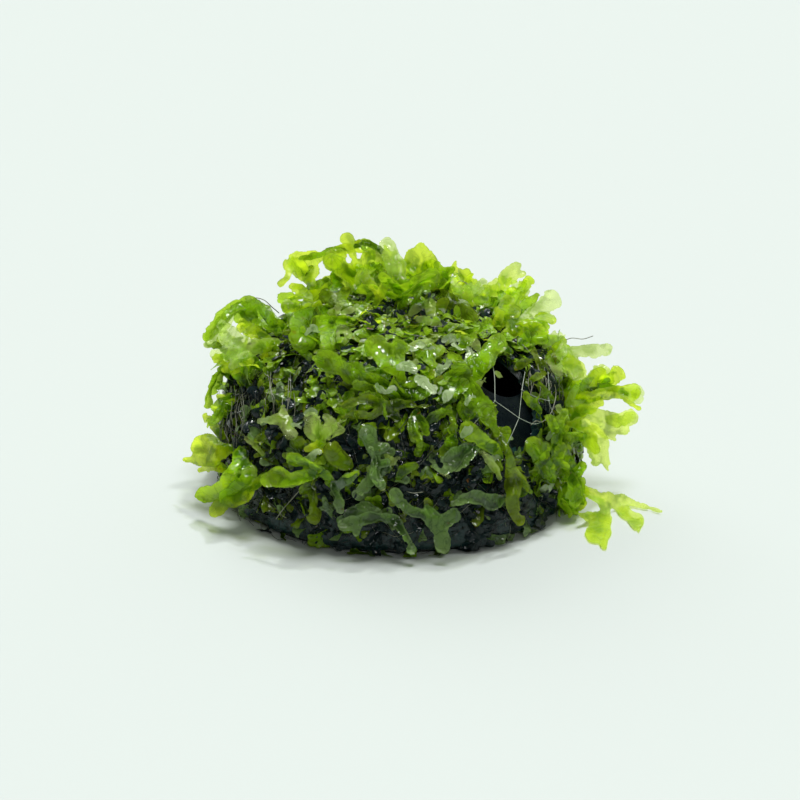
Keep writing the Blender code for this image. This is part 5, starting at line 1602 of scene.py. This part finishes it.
def makeTufts():
    # more thalli below and beside the named ones, none of which reaches farther than they do
    rng = random.Random(tufts["seed"])
    heaps = {}
    for number, (name, (tone, turn, drawing)) in enumerate(leaves.items()):
        if name in cleanLeaves:
            continue
        frameOfView = viewFrame(turn)
        curves = drawnCurves(drawing, frameOfView)
        for count in range(tufts["each"]):
            foot, tip = tuftEnds(rng.choice(curves), frameOfView, rng)
            if np.linalg.norm(tip - foot) > tufts["longest"] or gapAt(foot) < tufts["patchGap"]:
                continue
            if leafiness(Vector(foot)) < tufts["leafy"]:
                continue
            heap = heaps.setdefault(rng.choice(tuftTones[tone]), Heap())
            addTuft(heap, foot, tip, rng, tufts["edgeSeed"] + number * leafRelief["seedStep"] + count)
    buildHeaps(heaps, "tuftThalli")


makeTufts()


# Root hairs and the net

hairs = {
    "seed": 77, "dark": 1500, "pale": 170, "long": (5 * mm, 15 * mm), "half": (0.05 * mm, 0.10 * mm),
    "steps": 9, "leastSteps": 3, "sides": 3, "wander": 0.55,
    "lift": (-2.0 * mm, 0.9 * mm), "climb": 0.5 * mm, "clear": -1.2 * mm,
    "lowest": 0.012,            # rise of a direction over the floor
}
threadSides = 5
tubeAside = (0.31, 0.22, 0.92)      # a direction that no thread follows


def tube(path, half, sides):
    # a thin tube along a path, open at both ends
    path = np.asarray(path)
    way = unitRows(np.gradient(path, axis=0))
    side = unitRows(np.cross(way, tubeAside))
    other = np.cross(way, side)
    half = np.broadcast_to(half, len(path))
    points = []
    for corner in range(sides):
        turn = 2 * math.pi * corner / sides
        points.append(path + (side * math.cos(turn) + other * math.sin(turn)) * half[:, None])
    points = np.stack(points, axis=1).reshape(-1, 3)
    faces = []
    for step in range(len(path) - 1):
        for corner in range(sides):
            a, b = step * sides + corner, step * sides + (corner + 1) % sides
            faces.append([a, b, b + sides, a + sides])
    return points, faces


def hairPath(rng, way, length, heading):
    out = np.array(way)
    low, high = hairs["lift"]
    lift = rng.uniform(low, high)
    path = []
    for _ in range(hairs["steps"]):
        level, slope = skinFrame(out)
        lift = min(high, max(low, lift + rng.uniform(-hairs["climb"], hairs["climb"])))
        path.append(out * (reachOf(out) + lift))
        heading += rng.uniform(-1, 1) * hairs["wander"]
        move = (level * math.cos(heading) + slope * math.sin(heading)) * length / hairs["steps"]
        out = path[-1] + move
        out = out / np.linalg.norm(out)
        if out[2] < hairs["lowest"]:
            break
    return path


def scatterHairs():
    rng = random.Random(hairs["seed"])
    for kind, name, look in (("dark", "rootHairs", "hair"), ("pale", "paleRoots", "paleHair")):
        heap = Heap()
        for _ in range(hairs[kind]):
            way = domeWay(rng)
            path = hairPath(rng, way, rng.uniform(*hairs["long"]), anyTurn(rng))
            if len(path) > hairs["leastSteps"] and patchGap(np.array(path)).min() > hairs["clear"]:
                heap.add(*tube(path, rng.uniform(*hairs["half"]), hairs["sides"]))
        heap.build(name, looks[look], "felt")


def drawnPath(drawing, frameOfView):
    # a smooth curve in space through drawn points
    curve = drawnCurves([drawing], frameOfView)[0]
    right, up, into = (np.array(way) for way in frameOfView)
    return curve[:, :1] * right + curve[:, 1:2] * up + curve[:, 2:3] * into


# Loose roots that can be followed in the picture: column, row, lift, half width
looseRoots = [
    [(563, 341, 0.5, 0.4), (572, 338, 3, 0.4), (583, 339, 6, 0.35), (593, 336, 8, 0.3)],
    [(247, 303, 6, 0.5), (254, 298, 6, 0.5), (264, 300, 4, 0.5), (272, 307, 2, 0.5), (279, 313, 0.5, 0.5)],
    [(452, 289, 0.5, 0.4), (460, 281, 3, 0.4), (468, 284, 3, 0.4), (475, 286, 1, 0.4)],
    [(531, 425, 0.6, 0.5), (536, 421, 1.4, 0.5), (542, 422, 1.6, 0.5), (548, 417, 1, 0.5)],
    [(276, 519, 0.6, 0.5), (284, 508, 1.2, 0.5), (292, 499, 1.2, 0.5), (301, 489, 0.8, 0.5)],
    [(404, 490, 0.6, 0.4), (412, 493, 1.6, 0.4), (423, 492, 1, 0.4)],
    [(226, 392, 0.4, 0.4), (228, 410, 1, 0.4), (226, 428, 1, 0.4), (229, 446, 0.5, 0.4)],
    [(231, 386, 0.4, 0.4), (232, 404, 1.2, 0.4), (230, 424, 1.2, 0.4), (234, 448, 0.5, 0.4)],
    [(236, 390, 0.4, 0.4), (235, 412, 1, 0.4), (237, 430, 1, 0.4), (236, 452, 0.5, 0.4)],
    [(552, 377, 0.6, 0.4), (556, 392, 1.4, 0.4), (553, 408, 1.4, 0.4), (547, 420, 0.8, 0.4)],
]

# Bundles of pale strands that hang at the left and above the window
strands = {
    # places are columns, rows and count
    "places": (((217, 244), (384, 462), 16), ((528, 562), (352, 404), 14), ((262, 300), (366, 430), 8)),
    "shares": (0, 0.33, 0.66, 1), "shortest": 0.4, "stray": 3,
    "lift": 0.4, "bulge": 1.2, "bulgeTurn": 3, "half": 0.25, "seed": 8,
}


def hangingStrands(rng):
    drawings = []
    for (left, right), (top, low), count in strands["places"]:
        for _ in range(count):
            column, row = rng.uniform(left, right), rng.uniform(top, (top + low) / 2)
            end = rng.uniform(row + strands["shortest"] * (low - top), low)
            drawing = []
            for share in strands["shares"]:
                stray = rng.uniform(-strands["stray"], strands["stray"])
                lift = strands["lift"] + strands["bulge"] * math.sin(strands["bulgeTurn"] * share)
                drawing.append((column + stray, row + (end - row) * share, lift, strands["half"]))
            drawings.append(drawing)
    return drawings


def makeLooseRoots():
    heap = Heap()
    for drawing in looseRoots + hangingStrands(random.Random(strands["seed"])):
        half = drawing[0][3] * photoView["pixel"]
        heap.add(*tube(drawnPath(drawing, viewFrame(0)), half, threadSides))
    heap.build("looseRoots", looks["paleHair"], "felt")


net = {
    "seed": 31, "rows": 8, "rises": (math.radians(6), math.radians(82)), "cell": 11.5 * mm, "leastCells": 5,
    "lift": (-0.9 * mm, 0.3 * mm),              # of a thread's middle over its knots
    "sink": 0.5 * mm, "half": 0.085 * mm, "jitter": 2.0 * mm, "steps": 6,
    "lowest": 0.06,                             # rise of a knot's direction over the floor
    "knot": 0.168 * mm, "knotHalf": 0.154 * mm, "knotSteps": 9, "knotTurn": 1.9, "knotTwist": 1.3,
    "knotFrom": 1.5,            # half width in picture columns from which a drawn piece is a knot
}


def netPiece(name, paths, knots, look):
    heap = Heap()
    for path in paths:
        heap.add(*tube(path, net["half"], threadSides))
    for spot in knots:
        turns = []
        for step in range(net["knotSteps"]):
            turn = step * net["knotTurn"]
            loop = np.array([math.cos(turn), math.sin(turn * net["knotTwist"]), math.sin(turn)])
            turns.append(spot + loop * net["knot"])
        heap.add(*tube(turns, net["knotHalf"], threadSides))
    return heap.build(name, looks[look], "thread")


def makeWindowNet():
    paths, knots = [], []
    for drawing in netThreads:
        path = drawnPath(drawing, viewFrame(0))
        if drawing[0][3] < net["knotFrom"]:
            paths.append(path)
        else:
            knots.append(path.mean(axis=0))
    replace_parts(netPiece("windowNet", paths, knots, "thread"), "net")


def netKnots(rng):
    # directions of the knots, in rows from the foot to the crown
    rows = []
    low, high = net["rises"]
    for row in range(net["rows"]):
        rise = low + (high - low) * row / (net["rows"] - 1)
        count = max(net["leastCells"], round(2 * math.pi * dome["radius"] * math.cos(rise) / net["cell"]))
        knots = []
        for place in range(count):
            turn = 2 * math.pi * (place + 0.5 * (row % 2)) / count
            spot = Vector((math.cos(rise) * math.cos(turn), math.cos(rise) * math.sin(turn), math.sin(rise)))
            spot += Vector(anyWay(rng)) * net["jitter"] / dome["radius"]
            spot.z = max(spot.z, net["lowest"])
            knots.append(spot.normalized())
        rows.append(knots)
    return rows


def threadPath(knot, other, lift):
    # a thread between two knots, whose middle stands off the dome by lift more than its ends
    shares = np.linspace(0, 1, net["steps"] + 1)
    ways = np.array([list(knot.lerp(other, share).normalized()) for share in shares])
    return ways * (domeReach(ways) - net["sink"] + np.sin(math.pi * shares) * lift)[:, None]


def makeRoundNet():
    rng = random.Random(net["seed"])
    rows = netKnots(rng)
    paths = []
    for row, above in zip(rows, rows[1:]):
        for knot in row:
            for other in sorted(above, key=lambda spot: (spot - knot).length_squared)[:2]:
                path = threadPath(knot, other, rng.uniform(*net["lift"]))
                if patchGap(path).min() > 0:
                    paths.append(path)
    spots = [np.array(knot) * (reachOf(knot) - net["sink"]) for row in rows for knot in row]
    netPiece("roundNet", paths, [spot for spot in spots if gapAt(spot) > 0], "oldThread")


scatterHairs()
makeLooseRoots()
makeWindowNet()
makeRoundNet()
print("hairs and net made")


# Studio

studio = {
    "floor": (0.423, 0.459, 0.436), "floorSize": 8.0,
    "low": (0.06, 0.066, 0.066), "high": (1.0, 1.03, 1.02),    # the surround, dim in front and bright behind
    "brightWay": (0.0, 0.97, 0.24), "from": 0.2, "to": 0.95, "power": 1.0,
    "top": 3.11, "topWay": (0.10, 0.05, 1.0), "topAngle": 19,
    "fill": 0.55, "fillWay": (0.1, -0.9, 0.6), "fillAngle": 16,
    "back": 0.95, "backWay": (-0.45, 0.90, 0.70), "backAngle": 40,
    "glint": 1.5, "glintWay": (0.25, 0.3, 1.0), "glintAngle": 4,
}


def sunLamp(name, power, way, angle):
    lamp = bpy.data.lights.new(name, "SUN")
    lamp.energy, lamp.angle = power, math.radians(angle)
    made = bpy.data.objects.new(name, lamp)
    made.location = middle + Vector(way).normalized()
    made.rotation_euler = (-Vector(way)).to_track_quat("-Z", "Y").to_euler()
    bpy.context.scene.collection.objects.link(made)


def makeSurround():
    world = bpy.context.scene.world or bpy.data.worlds.new("studio")
    bpy.context.scene.world = world
    world.use_nodes = True
    tree = world.node_tree
    tree.nodes.clear()
    way = addNode(tree, "ShaderNodeTexCoord").outputs["Generated"]
    facing = addNode(tree, "ShaderNodeVectorMath", {0: way, 1: studio["brightWay"]}, operation="DOT_PRODUCT")
    share = mapNode(tree, facing.outputs["Value"], studio["from"], studio["to"])
    colour = mixNode(tree, share, studio["low"], studio["high"])
    sky = addNode(tree, "ShaderNodeBackground", {"Color": colour, "Strength": studio["power"]})
    out = addNode(tree, "ShaderNodeOutputWorld")
    tree.links.new(sky.outputs[0], out.inputs["Surface"])


def makeFloor():
    half = studio["floorSize"] / 2
    corners = [(-half, -half, 0), (half, -half, 0), (half, half, 0), (-half, half, 0)]
    ground = bpy.data.meshes.new("floor")
    ground.from_pydata(corners, [], [(0, 1, 2, 3)])
    look, tree = newLook("paleFloor")
    skin = addNode(tree, "ShaderNodeBsdfPrincipled", {
        "Base Color": (*studio["floor"], 1), "Roughness": 1.0, "Specular IOR Level": 0.0})
    finishLook(tree, skin)
    ground.materials.append(look)
    floor = bpy.data.objects.new("floor", ground)
    bpy.context.scene.collection.objects.link(floor)


def makeStudio():
    makeFloor()
    makeSurround()
    for lamp in ("top", "fill", "back", "glint"):
        sunLamp(lamp + "Light", studio[lamp], studio[lamp + "Way"], studio[lamp + "Angle"])
    bpy.context.scene.view_settings.view_transform = "Standard"


def makeCamera():
    right, up, into = viewFrame(0)
    eye = bpy.data.cameras.new("photoCamera")
    eye.sensor_width = photoView["sensor"]
    eye.lens = photoView["sensor"] * photoView["away"] / (photoView["size"] * photoView["pixel"])
    made = bpy.data.objects.new("photoCamera", eye)
    made.location = middle + viewTarget(right, up) - into * photoView["away"]
    made.rotation_euler = into.to_track_quat("-Z", "Y").to_euler()
    bpy.context.scene.collection.objects.link(made)
    bpy.context.scene.camera = made


makeStudio()
makeCamera()
counts = {made.name: sum(len(face.vertices) - 2 for face in made.data.polygons)
          for made in bpy.context.scene.objects if made.type == "MESH"}
largest = max(counts.items(), key=lambda pair: pair[1])
print("triangles in all:", sum(counts.values()), "- largest piece:", largest)
